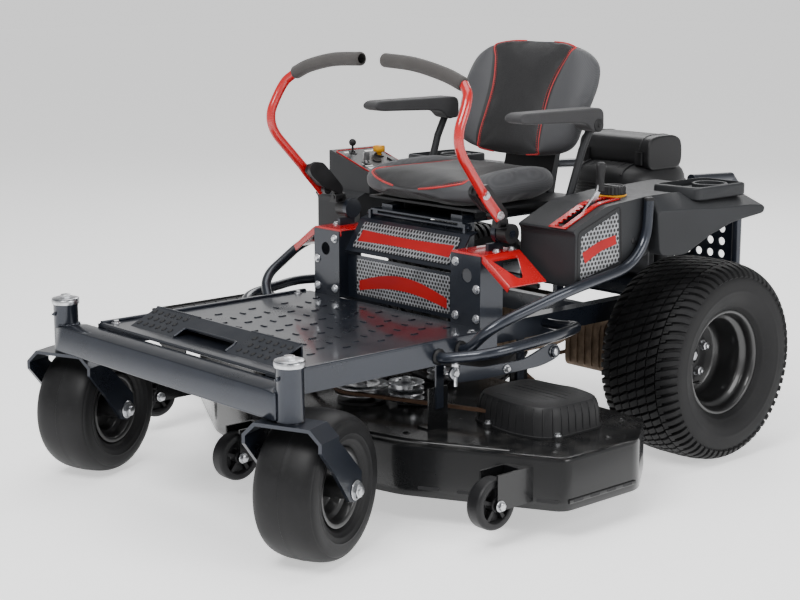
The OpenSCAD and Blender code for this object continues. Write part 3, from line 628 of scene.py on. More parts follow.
def piece(name, shape, body, finish, replaces=(), bevel=0.0, sharp=38):
    """Makes a shape an object: doubles merged, faces outward, in metres in the row frame.
    bevel is the width of its rounded edges and sharp the angle where shading breaks."""
    points, faces = shape
    mesh = bpy.data.meshes.new(name)
    mesh.from_pydata(row(points).tolist(), [], faces)
    work = bmesh.new()
    work.from_mesh(mesh)
    bmesh.ops.remove_doubles(work, verts=work.verts, dist=2e-6)
    bmesh.ops.dissolve_degenerate(work, edges=work.edges, dist=1e-7)
    bmesh.ops.recalc_face_normals(work, faces=work.faces)
    work.to_mesh(mesh)
    work.free()
    mesh.shade_smooth()
    mesh.set_sharp_from_angle(angle=math.radians(sharp))
    mesh.materials.append(finish)
    made = bpy.data.objects.new(name, mesh)
    bpy.context.collection.objects.link(made)
    if bevel:
        edge = made.modifiers.new("edges", "BEVEL")
        edge.width = bevel / 1000
        edge.segments = 2
        edge.limit_method = "ANGLE"
        edge.angle_limit = math.radians(32)
        edge.harden_normals = True
    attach(made, body)
    if replaces:
        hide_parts(*replaces)
    return made


def kept_form(made):
    """Turns a piece's modifiers into its mesh."""
    solid = bpy.data.meshes.new_from_object(
        made.evaluated_get(bpy.context.evaluated_depsgraph_get()))
    made.modifiers.clear()
    made.data = solid


def cut(made, *shapes):
    """Takes shapes out of a piece, with their walls left as its own surface."""
    kept_form(made)
    for shape in shapes:
        points, faces = shape
        mesh = bpy.data.meshes.new("cutter")
        mesh.from_pydata(row(points).tolist(), [], faces)
        work = bmesh.new()
        work.from_mesh(mesh)
        bmesh.ops.remove_doubles(work, verts=work.verts, dist=2e-6)
        bmesh.ops.recalc_face_normals(work, faces=work.faces)
        work.to_mesh(mesh)
        work.free()
        tool = bpy.data.objects.new("cutter", mesh)
        bpy.context.collection.objects.link(tool)
        carve = made.modifiers.new("carve", "BOOLEAN")
        carve.operation, carve.solver, carve.object = "DIFFERENCE", "EXACT", tool
        kept_form(made)
        bpy.data.objects.remove(tool)
    made.data.shade_smooth()
    made.data.set_sharp_from_angle(angle=math.radians(30))
    return made


# ---------------------------------------------------------- wheels and tyres

REAR_R = (node_box("rear_tyre_l")[1][2] - node_box("rear_tyre_l")[0][2]) / 2
REAR_HALF = (node_box("rear_tyre_l")[1][0] - node_box("rear_tyre_l")[0][0]) / 2
REAR_X = node_box("rear_tyre_l")[1][0] - REAR_HALF
BEAD_R = 128.0
TREAD = 9.0          # height of the tread blocks
SQUARE = 0.62        # how square the tyre's section is: 1 is an ellipse


def rear_section(q, t):
    """Across the tread at q, from -1 to 1, with t from 0 at the carcass to 1 at the block's face:
    the width is q·(half - 5(1-t)) and the radius m + (R - 9(1-t) - m)·(1 - |q|^(2/p))^(p/2)."""
    middle = (REAR_R + BEAD_R + 11) / 2
    width = q * (REAR_HALF - 5 * (1 - t))
    rise = (1 - np.clip(np.abs(q), 0, 1) ** (2 / SQUARE)) ** (SQUARE / 2)
    return width, middle + (REAR_R - TREAD * (1 - t) - middle) * rise


def rear_carcass():
    """The tyre under its blocks, from bead to bead and round the inside, with rings and a
    raised rib on each wall."""
    q = np.sin(np.linspace(-1, 1, 61) * math.pi / 2)
    width, radius = rear_section(q, 0.0)
    crown = np.stack([width, radius], -1)
    down = np.linspace(0, 1, 26)[1:]
    low = BEAD_R + 2
    middle = (REAR_R + BEAD_R + 11) / 2
    wall_r = middle - (middle - low) * np.sin(down * math.pi / 3) / math.sin(math.pi / 3)
    wall_w = (REAR_HALF - 5) * np.cos(down * math.pi / 3) ** SQUARE
    ribs = 1.3 * np.exp(-((wall_r - 188) / 2.2) ** 2) + 1.6 * np.exp(-((wall_r - 146) / 2.5) ** 2)
    wall_w = wall_w + ribs
    right = np.stack([wall_w, wall_r], -1)
    left = right[::-1] * (-1, 1)
    seat = wall_w[-1]
    inner = [(seat - 8, low - 2), (seat - 16, low + 6), (0, low + 12), (-seat + 16, low + 6),
             (-seat + 8, low - 2)]
    return lathe(np.vstack([left, crown, right, inner]), (REAR_X, 0, REAR_R), X_AXIS, 128, True)


def on_rear_tyre(angle, q, t):
    """A place on the tyre from its angle round the axle and its place across and above."""
    width, radius = rear_section(q, t)
    return np.stack([REAR_X + width, radius * np.sin(angle), REAR_R + radius * np.cos(angle)], -1)


def tread_blocks(starts, length, q0, q1, skew, stations=4):
    """Blocks that run across the tread: four long edges, two at the carcass and two at the
    face, carried from q0 to q1; the angle grows by skew across each block."""
    across = np.linspace(q0, q1, stations)
    edge = np.array([(-0.14, -0.25), (0.06, 1.0), (0.94, 1.0), (1.14, -0.25)])
    slant = skew * np.linspace(-0.5, 0.5, stations)
    angle = starts[:, None, None] + length * edge[None, None, :, 0] + slant[None, :, None]
    shrink = np.ones(stations)
    shrink[[0, -1]] = 0.9
    height = edge[None, None, :, 1] * shrink[None, :, None]
    place = on_rear_tyre(angle, np.broadcast_to(across[None, :, None], angle.shape),
                         np.broadcast_to(height, angle.shape))
    number = np.arange(stations * 4).reshape(stations, 4)
    ring = np.hstack([number, number[:, :1]])
    faces = np.stack([ring[:-1, :-1], ring[1:, :-1], ring[1:, 1:], ring[:-1, 1:]], -1)
    faces = faces.reshape(-1, 4).tolist() + [number[0].tolist(), number[-1][::-1].tolist()]
    return copies((None, faces), place.reshape(len(starts), -1, 3))


def rear_tread():
    """Turf tread: five columns of paired slanting blocks and long lugs over each shoulder."""
    pitches = 34
    pitch = TURN / pitches
    start = np.arange(pitches) * pitch
    parts = []
    for column, q in enumerate((-0.47, -0.235, 0.0, 0.235, 0.47)):
        stagger = start + pitch * (0.27 * column % 1)
        for half in (0.0, 0.5):
            first = stagger + half * pitch
            parts.append(tread_blocks(first, pitch * 0.36, q - 0.104, q + 0.104, pitch * 0.30))
    for side in (-1, 1):
        for half in (0.0, 0.5):
            first = start + (half + 0.13 * side) * pitch
            parts.append(tread_blocks(first, pitch * 0.30, side * 0.60, side * 0.975,
                                      pitch * 0.34 * side, 7))
            parts.append(tread_blocks(first + pitch * 0.25, pitch * 0.13, side * 0.60,
                                      side * 0.70, pitch * 0.1 * side, 2))
    return join(*parts)


def rear_rim():
    """A deep dished rim: a rolled lip, a bead seat, a drop centre and the disc, then its hub, shaft
    and a short stem."""
    section = [(84, 129), (85.5, 136), (91.5, 136.5), (92, 128), (81, 123), (66, 121.5),
               (58, 108), (30, 106), (-4, 105), (-17, 96), (-22, 70), (-20, 40), (-20, 34),
               (-26, 34), (-27.5, 70), (-27, 100), (-40, 112), (-66, 117), (-72, 123),
               (-81, 124), (-92, 129), (-91.5, 136.5), (-85.5, 136), (-84, 129), (-60, 124),
               (-40, 118), (40, 116), (60, 124)]
    centre = (REAR_X, 0, REAR_R)
    rim = lathe(bend(section, 5, 4, True), centre, X_AXIS, 96, True)
    hub = lathe([(-38, 0), (-38, 71), (-36, 72), (-27, 72), (-26, 70), (-26, 44), (-24, 33),
                 (-10, 31), (-8, 29), (-8, 20), (-12, 17), (-12, 0)], centre, X_AXIS, 48)
    shaft = lathe([(240 - REAR_X, 0), (240 - REAR_X, 17.4), (-37, 17.4), (-37, 0)], centre,
                  X_AXIS, 32)
    stem = soft_bar([(REAR_X + 52, 0, REAR_R + 106), (REAR_X + 62, 0, REAR_R + 92),
                     (REAR_X + 74, 0, REAR_R + 84)], 4.5, 2, 8, 12)
    return join(rim, hub, shaft, turned(stem, centre, X_AXIS, 2.1))


def rim_nuts():
    nut = join(bolt((REAR_X - 22, 0, REAR_R + 57), X_AXIS, 21, 15),
               coarse_thread((REAR_X - 8, 0, REAR_R + 57), X_AXIS, 5.6, 6))
    cap = lathe([(-12, 0), (-12, 15), (-6, 15), (-3, 11), (-3, 0)], (REAR_X, 0, REAR_R),
                X_AXIS, 6)
    return join(around(nut, (REAR_X, 0, REAR_R), X_AXIS, 5), cap)


for side, flip in SIDES:
    wheel = "rear_wheel_" + side
    piece("turf_tyre_" + side, flip(join(rear_carcass(), rear_tread())), wheel, tyre_rubber,
          ("rear_tyre_" + side,), sharp=30)
    piece("dished_rim_" + side, flip(rear_rim()), wheel, rim_paint,
          ("rear_rim_" + side,))
    piece("wheel_nuts_" + side, flip(rim_nuts()), wheel, zinc)

BEAM_Y = (node_box("front_beam")[0][1] + node_box("front_beam")[1][1]) / 2
CASTER_X = 444.0
SWIVEL = math.radians(22)
CASTER_R, CASTER_HALF = 165.0, 75.0
CASTER_BEAD, TRAIL = 84.0, 107.0
LEG = 95.0           # from the middle of a caster wheel to the outside of its fork's leg


def at_caster(shape, side):
    """A shape drawn round a pivot on the Z axis, turned and put where a caster is."""
    made = turned(shape, (0, 0, 0), Z_AXIS, SWIVEL)
    return moved(made, (side * CASTER_X, BEAM_Y, 0))


def caster_tyre():
    """A smooth tyre: a squared section, a mould seam round its crown and rings on its walls.
    Each ring of radius r, spread s and height h adds h·exp(-((out - r)/s)²) to the width."""
    a = np.linspace(0, 1, 44) * math.pi / 2
    low = CASTER_BEAD + 11
    middle = (CASTER_R + low) / 2
    power = 0.72
    crown_r = middle + (CASTER_R - 0.6 - middle) * np.sin(a) ** power
    crown_w = CASTER_HALF * np.cos(a) ** power
    b = np.linspace(0, 1, 24)[1:] * math.pi / 3
    wall_r = middle - (middle - CASTER_BEAD - 1) * np.sin(b) / math.sin(math.pi / 3)
    wall_w = CASTER_HALF * np.cos(b) ** SQUARE
    right = np.vstack([np.stack([crown_w, crown_r], -1)[::-1], np.stack([wall_w, wall_r], -1)])
    rings = sum(h * np.exp(-((right[:, 1] - r) / s) ** 2)
                for r, s, h in ((148, 1.6, -1.4), (118, 1.6, 1.0), (106, 1.4, 0.9), (96, 1.8, 1.2)))
    right[:, 0] += np.where(right[:, 0] > 20, rings, 0)
    seam = np.array([(-1.2, CASTER_R - 0.6), (-0.6, CASTER_R), (0.6, CASTER_R)])
    left = right[::-1] * (-1, 1)
    seat = right[-1, 0]
    inner = [(seat - 6, CASTER_BEAD), (seat - 12, CASTER_BEAD + 8), (-seat + 12, CASTER_BEAD + 8),
             (-seat + 6, CASTER_BEAD)]
    profile = np.vstack([left[:-1], seam, right[1:], inner])
    return lathe(profile, (0, TRAIL, CASTER_R), X_AXIS, 112, True)


def caster_hub():
    """The pressed disc of a caster wheel seen through its dish, with a grease cap each side."""
    section = [(59, 76), (61, 88), (57, 88), (54, 82), (40, 76), (34, 60), (12, 52), (10, 28),
               (30, 24), (82, 22), (84, 14), (84, 10.5), (-84, 10.5), (-84, 14), (-82, 22),
               (-30, 24), (-10, 28), (-12, 52), (-34, 60), (-40, 76), (-54, 82), (-57, 88),
               (-61, 88), (-59, 76), (-36, 70), (0, 66), (36, 70)]
    return lathe(bend(section, 3, 3, True), (0, TRAIL, CASTER_R), X_AXIS, 72, True)


def caster_hardware():
    """Axle bolt, nut and washers in zinc."""
    ends = [bolt((way * LEG, TRAIL, CASTER_R), (way, 0, 0), 30.6, 9.5, 19) for way in (-1, 1)]
    return join(*ends, coarse_thread((LEG + 9, TRAIL, CASTER_R), X_AXIS, 9.2, 7))


def caster_cap():
    """The turned cap over a pivot tube, and its lock nut."""
    profile = [(-2, 0), (-2, 33.4), (3, 34.0), (8, 33.8), (11.5, 31.5), (13.2, 27), (13.6, 14),
               (13.6, 0)]
    cap = lathe(profile, (0, 0, 450), Z_AXIS, 48)
    nut = lathe([(11, 0), (11, 15.8), (13.5, 15.8), (14.2, 13.6), (19.5, 13.2), (21, 11), (21, 0)],
                (0, 0, 449.6), Z_AXIS, 6)
    return join(cap, nut)


for side, sign in (("l", 1), ("r", -1)):
    piece("caster_tread_" + side, at_caster(caster_tyre(), sign), "caster_wheel_" + side,
          caster_rubber, ("caster_tyre_" + side,))
    piece("caster_hub_" + side, at_caster(caster_hub(), sign), "caster_wheel_" + side, rim_paint,
          ("caster_rim_" + side,))
    piece("caster_bolts_" + side, at_caster(caster_hardware(), sign), "caster_" + side, zinc)
    piece("caster_cap_" + side, at_caster(caster_cap(), sign), "caster_" + side, zinc)


# ----------------------------------------------------- levers, tubes, plates

FOOT, ELBOW = (331, -612, 672), (352, -780, 861)
HAND = (346, -728, 962)
GRIP = (312, -712, 988)
CLAMP_BOLTS = ((-616, 678), (-664, 730))     # along and up, where a bar is clamped


def lap_tube():
    """A bent tube, flattened where it is bolted: its thickness falls to 0.5 and its width grows
    to 1.35 over the last stretch before the foot."""
    path = evenly(bend([FOOT, (331, -660, 724), ELBOW, HAND, GRIP], 62, 14), 120)
    run = np.append(0, np.cumsum(np.linalg.norm(np.diff(path, axis=0), axis=1)))
    press = 1 - np.clip((run - 72) / 34, 0, 1)
    press = press * press * (3 - 2 * press)
    size = 12.0 * np.stack([1 - 0.42 * press, 1 + 0.22 * press], -1)
    return sweep(path, circle(1.0, 24), X_AXIS, size)


def lever_grip():
    """Foam: a bent bar with soft ends, from the red tube to the middle of the machine."""
    path = through([GRIP, (250, -716, 1009), (150, -719, 1028), (41.5, -719, 1034)], 16)
    return soft_bar(path, 17.2, 5, 60, 32)


def lever_bolts():
    """A lap bar's two clamp bolts, each a head outside and a nut inside."""
    return join(*[part for y, z in CLAMP_BOLTS
                  for part in (bolt((338, y, z), X_AXIS, 13, 6.5, 11),
                               bolt((321, y, z), (-1, 0, 0), 13, 3))])


def lever_casting():
    """The ribbed casting that clamps a lap bar: a slab in side view with raised ribs along its
    arm and a round boss where it turns on the yoke."""
    outline = bend([(-589, 666), (-573, 664), (-570, 682), (-594, 708), (-636, 752), (-664, 756),
                    (-682, 742), (-680, 726), (-640, 688), (-604, 674)], 9, 4, True)
    parts = [slab(outline, 295.5, 306, *SIDE_VIEW)]
    inner = bend([(-589, 675), (-579, 678), (-598, 702), (-640, 745), (-664, 746), (-672, 732),
                  (-640, 698), (-606, 684)], 7, 4, True)
    path = upright(309.0, inner)
    parts.append(sweep(path, circle(3.6, 8), X_AXIS, loop=True))
    for a in np.linspace(0.12, 0.92, 7):
        y, z = -592 - 78 * a, 684 + 56 * a
        bar = rounded(10, 1.7, 1, 2)
        parts.append(slab(bar, 303, 312, (0, y, z), (0, 0.78, 0.62), (0, -0.62, 0.78)))
    for y, z in CLAMP_BOLTS:
        parts.append(lathe([(303, 0), (303, 12.5), (319, 11), (320, 9.5), (320, 0)], (0, y, z),
                           X_AXIS, 28))
    return join(*parts)


for side, flip in SIDES:
    body = "bar_" + side
    piece("lap_tube_" + side, flip(lap_tube()), body, red_paint,
          ("lap_bar_" + side,))
    piece("foam_grip_" + side, flip(lever_grip()), body, grip_foam,
          ("grip_" + side,))
    piece("lever_bolts_" + side, flip(lever_bolts()), body, zinc)
    piece("lever_ribs_" + side, flip(lever_casting()), body, black_cast)

GUARD_R = 13.0


def guard_tube_set():
    """Two bent tubes each side."""
    reach = 494.0
    upper = bend([(356, -760, 381), (379, -760, 381), (430, -735, 440), (reach, -548, 510),
                  (reach, -330, 540), (reach, -268, 600), (reach, -262, 700)], 58, 12)
    lower = bend([(356, -830, 373), (379, -830, 373), (470, -770, 390), (488, -560, 408),
                  (420, -420, 396), (330, -400, 381), (286, -400, 381)], 62, 12)
    return join(tube(evenly(upper, 90), GUARD_R, 22), tube(evenly(lower, 90), GUARD_R, 22))


def guard_pads():
    """Round weld collars at the rails and a plug in each open end."""
    parts = []
    for y, z in ((-760, 381), (-830, 373)):
        parts.append(lathe([(355.2, 0), (355.2, 19), (358, 19.5), (361, 15.5), (361, 0)],
                           (0, y, z), X_AXIS, 28))
    parts.append(lathe([(-3, 0), (-3, 13.4), (1, 13.6), (4.5, 11), (6, 6), (6, 0)],
                       (494, -262, 700), (0, 0.06, 1), 24))
    return join(*parts)


piece("guard_tube_set", both_sides(guard_tube_set()), "frame", frame_paint,
      ("guard_tubes",))
piece("guard_pads", both_sides(guard_pads()), "frame", black_plastic)


# --------------------------------------------------------------------- seat

def two_tone_vinyl():
    """The seat's cover: charcoal, with grey where the piece's own bolster value is 1, and one
    leather grain over both; on the charcoal the grain's creases are painted darker, as painted
    shade."""
    f = Finish("two_tone_vinyl")
    grey = f.node("ShaderNodeAttribute", {"attribute_name": "bolster"}, out="Fac").ramp(0.4, 0.6)
    crease = f.cells(400.0, None, "DISTANCE_TO_EDGE").ramp(0.0, 0.3)
    weave = f.axes(f.stretched(1400.0, 1400.0, 1400.0))
    threads = (weave[0].sine() * weave[2].sine() + 1) * 0.5
    drift = f.noise(8.0, 4.0)
    # on the charcoal the creases are painted darker: painted shade in the grain's hollows
    dark = f.mix(crease, (0.007, 0.007, 0.0075, 1), (0.014, 0.014, 0.0155, 1))
    light = f.mix(threads, (0.036, 0.037, 0.040, 1), (0.062, 0.063, 0.068, 1))
    colours = f.mix(grey, dark, light)
    colours = f.mix(drift.ramp(0.42, 0.8) * 0.25, colours, (0.06, 0.06, 0.064, 1))
    roughness = grey * 0.12 + (drift - 0.5) * 0.1 + (1 - crease) * 0.12 + 0.44
    swell = f.bump(f.noise(20.0, 3.0), 0.9)
    relief = f.bump(crease * (1 - grey) + threads * grey * 0.6, 0.14, swell)
    return f.surface(colours, roughness, relief, Sheen_Weight=0.15, Sheen_Roughness=0.4,
                     Specular_IOR_Level=0.35)


seat_cover = two_tone_vinyl()
SIDE_STEPS, MIDDLE_STEPS, UNDER_STEPS = 12, 22, 26
SEAM_COLUMNS = (SIDE_STEPS - 1, SIDE_STEPS + MIDDLE_STEPS - 2)


def steps_through(stations, at):
    """Values between stations, smoothed: stations are rows of (place, value...)."""
    table = np.asarray(stations, float)
    smooth = through(table, 12)
    order = np.argsort(smooth[:, 0], kind="stable")
    return np.stack([np.interp(at, smooth[order, 0], smooth[order, k])
                     for k in range(1, table.shape[1])], -1)


def pad(centre, facing, wide, thick, seam, relief, power=2.7):
    """A closed pad lofted through stations. At each, across is wide·cos(a)^(2/p) and out is
    thick·sin(a)^(2/p) + relief(across/wide, across/seam); a column of points lies on each seam."""
    turn = np.arccos(np.clip(seam / wide, 0, 1) ** (power / 2))
    part = np.linspace(0, 1, SIDE_STEPS)
    mid = np.linspace(0, 1, MIDDLE_STEPS)[1:]
    under = np.linspace(0, 1, UNDER_STEPS)[1:-1]
    angle = np.concatenate([turn[:, None] * part,
                            turn[:, None] + (math.pi - 2 * turn[:, None]) * mid,
                            math.pi - turn[:, None] * (1 - part[1:]),
                            math.pi + math.pi * under + 0 * turn[:, None]], 1)
    cosine, sine = np.cos(angle), np.sin(angle)
    across = wide[:, None] * np.sign(cosine) * np.abs(cosine) ** (2 / power)
    out = thick[:, None] * np.sign(sine) * np.abs(sine) ** (2 / power)
    front = np.clip(sine * 2.5, 0, 1)
    share = np.abs(across) / np.maximum(wide[:, None], 1e-6)
    fullness = front * (thick[:, None] / thick.max())
    out = out + relief(share, np.abs(across) / seam[:, None]) * fullness
    points = (centre[:, None] + across[..., None] * np.array([1.0, 0, 0])
              + out[..., None] * facing[:, None])
    return points, across, sine


def stuffed(made, held, most):
    """Blows the cover up with cloth: pressure swells it between its held seams, and no point
    moves further than most millimetres."""
    mesh = made.data
    count = len(mesh.vertices)
    rest = np.empty(count * 3)
    mesh.vertices.foreach_get("co", rest)
    group = made.vertex_groups.new(name="held")
    group.add([int(i) for i in held], 1.0, "REPLACE")
    cloth = made.modifiers.new("stuffing", "CLOTH")
    cloth.settings.use_pressure = True
    cloth.settings.uniform_pressure_force = 4.0
    cloth.settings.quality = 5
    cloth.settings.tension_stiffness = cloth.settings.compression_stiffness = 20
    cloth.settings.vertex_group_mass = "held"
    cloth.settings.effector_weights.gravity = 0.0
    cloth.point_cache.frame_start, cloth.point_cache.frame_end = 1, 20
    scene = bpy.context.scene
    for number in range(1, 21):
        scene.frame_set(number)
    blown = made.evaluated_get(bpy.context.evaluated_depsgraph_get())
    after = np.empty(count * 3)
    blown.data.vertices.foreach_get("co", after)
    made.modifiers.remove(cloth)
    made.vertex_groups.remove(group)
    shift = (after - rest).reshape(-1, 3)
    length = np.linalg.norm(shift, axis=1, keepdims=True)
    shift *= np.minimum(1, most / 1000 / np.maximum(length, 1e-9))
    mesh.vertices.foreach_set("co", (rest.reshape(-1, 3) + shift).ravel())
    mesh.update()
    scene.frame_set(1)


def seat_pad(name, points, across, sine, seam, body, node, most):
    """The lofted pad as a piece: its two ends closed, bolster written beside its seams, then
    stuffed with both seams and the rim held."""
    rows, columns = points.shape[:2]
    flat, faces = grid(points, False, True)
    mesh = bpy.data.meshes.new(name)
    faces = faces + [list(range(columns))[::-1], [(rows - 1) * columns + i for i in range(columns)]]
    mesh.from_pydata(row(flat).tolist(), [], faces)
    side = (np.abs(across) > seam[:, None] * 1.001) & (sine > -0.55)
    store = mesh.attributes.new("bolster", "FLOAT", "POINT")
    store.data.foreach_set("value", side.astype(np.float32).ravel())
    mesh.materials.append(seat_cover)
    mesh.shade_smooth()
    work = bmesh.new()
    work.from_mesh(mesh)
    bmesh.ops.recalc_face_normals(work, faces=work.faces)
    work.to_mesh(mesh)
    work.free()
    made = bpy.data.objects.new(name, mesh)
    bpy.context.collection.objects.link(made)
    number = np.arange(rows * columns).reshape(rows, columns)
    held = np.concatenate([number[:, column] for column in SEAM_COLUMNS]
                          + [number[:3].ravel(), number[-3:].ravel()])
    stuffed(made, held, most)
    finer = made.modifiers.new("finer", "SUBSURF")
    finer.levels = finer.render_levels = 1
    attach(made, body)
    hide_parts(node)
    return made


def seam_cords(points, body, name, lift=1.0, radius=2.6):
    """A piping cord along each seam column, lifted a little out of the valley."""
    centre = points.mean(1)
    parts = []
    for column in SEAM_COLUMNS:
        line = points[2:-2, column]
        line = line + unit(line - centre[2:-2]) * lift
        parts.append(soft_bar(evenly(line, 80), radius, 2.4, 90, 10))
    return piece(name, join(*parts), body, piping_vinyl)


def stitch_rows(points, body, name):
    """A row of short stitches beside each seam, each a small six-sided bar."""
    bar = soft_bar([(0, -2.1, 0), (0, 2.1, 0)], 0.75, 0.7, 2, 6)
    places = []
    for column, way in zip(SEAM_COLUMNS, (1, -1)):
        line = evenly(points[3:-3, column], 70)
        inner = evenly(points[3:-3, column + way], 70)
        near = line + unit(inner - line) * 7.5
        run = unit(np.gradient(line, axis=0))
        out = unit(near - evenly(points[3:-3].mean(1), 70))
        third = np.cross(run, out)
        near = near + out * 0.9
        places.append(near[:, None] + bar[0][None, :, :1] * third[:, None]
                      + bar[0][None, :, 1:2] * run[:, None] + bar[0][None, :, 2:] * out[:, None])
    return piece(name, copies(bar, np.concatenate(places)), body, piping_vinyl)


def crown(dish, power, dip, crest, reach, rise):
    """A pad's relief: a dish between its seams, -dish·(1 - inward^power), a valley of width dip
    along each seam, and a roll that rises at crest, as a share of the half width."""
    def relief(share, inward):
        hollow = -dish * (1 - np.clip(inward, 0, 1) ** power)
        valley = -6.5 * np.exp(-((inward - 1) / dip) ** 2)
        roll = rise * np.clip(1 - ((share - crest) / reach) ** 2, 0, 1)
        return hollow + valley + roll
    return relief


def cushion():
    """The seat: stations run from the front edge to the back; the middle sits lower than its
    bolsters and the front edge falls away."""
    s = np.sin(np.linspace(-1, 1, 64) * math.pi / 2)
    v = (s + 1) / 2
    y = -614 + v * (614 - 232)
    height = steps_through([(-614, 708), (-560, 715), (-450, 716), (-300, 718), (-232, 722)],
                           y)[:, 0]
    end = (1 - np.abs(s) ** 5) ** 0.5
    wide = 236 * (1 - np.abs(s) ** 4.4) ** 0.40 * (1 - 0.05 * v) + 2
    thick = 37 * end + 1
    seam = np.minimum(steps_through([(-614, 178), (-500, 158), (-380, 138), (-232, 120)], y)[:, 0],
                      wide * 0.86)
    centre = np.stack([0 * y, y, height], -1)
    facing = np.broadcast_to((0.0, 0.0, 1.0), centre.shape)
    relief = crown(9, 3, 0.055, 0.84, 0.14, 5)
    return *pad(centre, facing, wide, thick, seam, relief, 3.0), seam


def backrest():
    """The back: stations rise from the cushion; the outline is widest at elbow height, its
    middle panel is waisted and its bolsters stand forward."""
    s = np.sin(np.linspace(-1, 1, 72) * math.pi / 2)
    v = (s + 1) / 2
    z = 770 + v * (1059 - 770)
    lean = np.array([0, 112, 289]) / math.hypot(112, 289)
    base = np.stack([0 * z, -238 + v * 112, z], -1)
    wide = steps_through([(770, 206), (800, 216), (860, 228), (940, 236), (1000, 224), (1035, 198),
                          (1059, 168)], z)[:, 0] * (1 - np.abs(s) ** 9) ** 0.34 + 2
    thick = 34 * (1 - np.abs(s) ** 6) ** 0.5 + 1
    seam = np.minimum(steps_through([(770, 112), (820, 108), (900, 103), (950, 108), (1000, 124),
                                     (1035, 142), (1059, 150)], z)[:, 0], wide * 0.86)
    facing = np.broadcast_to((0.0, -lean[2], lean[1]), base.shape)
    relief = crown(8, 2.4, 0.06, 0.78, 0.2, 9)
    return *pad(base, facing, wide, thick, seam, relief, 2.9), seam


for part, maker, node in (("cushion", cushion, "seat_cushion"),
                          ("backrest", backrest, "seat_back")):
    points, across, sine, seam = maker()
    seat_pad("padded_" + part, points, across, sine, seam, "seat", node, 9.0)
    seam_cords(points, "seat", part + "_piping")
    stitch_rows(points, "seat", part + "_stitches")


def armrest_pad():
    """A foam arm: its side outline, rounded at each corner, given width and soft edges."""
    outline = bend([(-506, 897), (-492, 907), (-214, 907), (-201, 896), (-201, 850), (-214, 847.5),
                    (-243, 847.5), (-262, 868), (-300, 873), (-484, 880), (-503, 886)], 16, 5, True)
    return slab(outline, 236.6, 291.4, *SIDE_VIEW)


def armrest_screws():
    """The pivot's cover disc and its screw on the outside of the arm."""
    disc = lathe([(0, 0), (0, 17), (2, 16.4), (3, 14), (3, 0)], (291.3, -222, 863), X_AXIS, 36)
    screw = lathe([(2.5, 0), (2.5, 6.5), (5, 6), (5.6, 4), (5.6, 0)], (291.3, -222, 863),
                  X_AXIS, 6)
    return join(disc, screw)


for side, flip in SIDES:
    piece("arm_pad_" + side, flip(armrest_pad()), "arm_" + side, arm_foam,
          ("armrest_" + side,), bevel=9)
    piece("arm_screw_" + side, flip(armrest_screws()), "arm_" + side, black_plastic)


# --------------------------------------------------------------------- deck

DECK_Z, DECK_TOP = 70.0, 190.0
DECK_OUTLINE = [(700, -770), (360, -955), (150, -1002), (-150, -1002), (-360, -955), (-700, -770),
                (-700, -520), (-590, -370), (-200, -345), (200, -345), (590, -370), (700, -520)]


def drawn_in(outline, by):
    """A plan outline moved inwards by a distance: each corner goes along its half-angle."""
    p = np.asarray(outline, float)
    after, before = unit(np.roll(p, -1, 0) - p), unit(p - np.roll(p, 1, 0))
    inward = np.stack([after[:, 1] + before[:, 1], -after[:, 0] - before[:, 0]], -1)
    square = unit(inward)
    lean = (square * np.stack([before[:, 1], -before[:, 0]], -1)).sum(1, keepdims=True)
    return p + square * by / lean


def deck_sheet():
    """The deck's pressed shell: its outline carried down a section with a rolled top edge, a
    straight skirt and a hemmed foot, then up again inside."""
    base = bend(DECK_OUTLINE, 26, 5, True)
    section = [(22, DECK_TOP), (9, DECK_TOP), (3.2, DECK_TOP - 2), (0.6, DECK_TOP - 8),
               (0.6, DECK_Z + 22), (0.0, DECK_Z + 20), (0.0, DECK_Z + 2), (1.0, DECK_Z + 0.2),
               (4.0, DECK_Z + 0.2), (5.0, DECK_Z + 2), (5.0, DECK_TOP - 10), (9, DECK_TOP - 5),
               (22, DECK_TOP - 4)]
    rings = np.array([level(drawn_in(base, by), z)
                      for by, z in section])
    skirt, faces = grid(rings, False, True)
    count = len(base)
    last = (len(section) - 1) * count
    faces.append(list(range(count)))
    faces.append([last + i for i in range(count)][::-1])
    return skirt, faces


deck = piece("deck_sheet", deck_sheet(), "deck", deck_paint, ("deck_shell",),
             sharp=34)
SPINDLES = ((450, -590), (0, -760), (-450, -590))
cut(deck, slab([(-712, -745), (-690, -745), (-690, -545), (-712, -545)], 60, 176),
    *[lathe([(0, 0), (0, 34), (20, 34), (20, 0)], (x, y, 180), Z_AXIS, 40)
      for x, y in SPINDLES])


def deck_trim():
    """What stands on the deck: a stiffening bead along its front, an edge bar on its near end
    with oval slots, and a row of carriage bolts."""
    parts = []
    front = evenly(bend([(560, -800), (352, -914), (150, -958), (-150, -958), (-352, -914),
                         (-560, -800)], 40, 6), 80)
    line = level(front, DECK_TOP - 0.5)
    parts.append(sweep(line, circle(1.0, 16) * (9, 3.6), Y_AXIS))
    edge = [(701.2, -756, 92), (701.2, -534, 92)]
    parts.append(sweep(evenly(edge, 12), circle(1.0, 14) * (1.9, 5.5), X_AXIS))
    for x, y in ((640, -740), (640, -560), (560, -420), (300, -880), (-300, -880), (200, -380),
                 (-200, -380), (-640, -740), (-560, -420), (100, -930), (-100, -930)):
        dome = [(0, 0), (0, 9.5), (1.5, 9.2), (3.4, 6.4), (4.2, 3), (4.4, 0)]
        parts.append(lathe(dome, (x, y, DECK_TOP - 0.4), Z_AXIS, 24))
    return join(*parts)


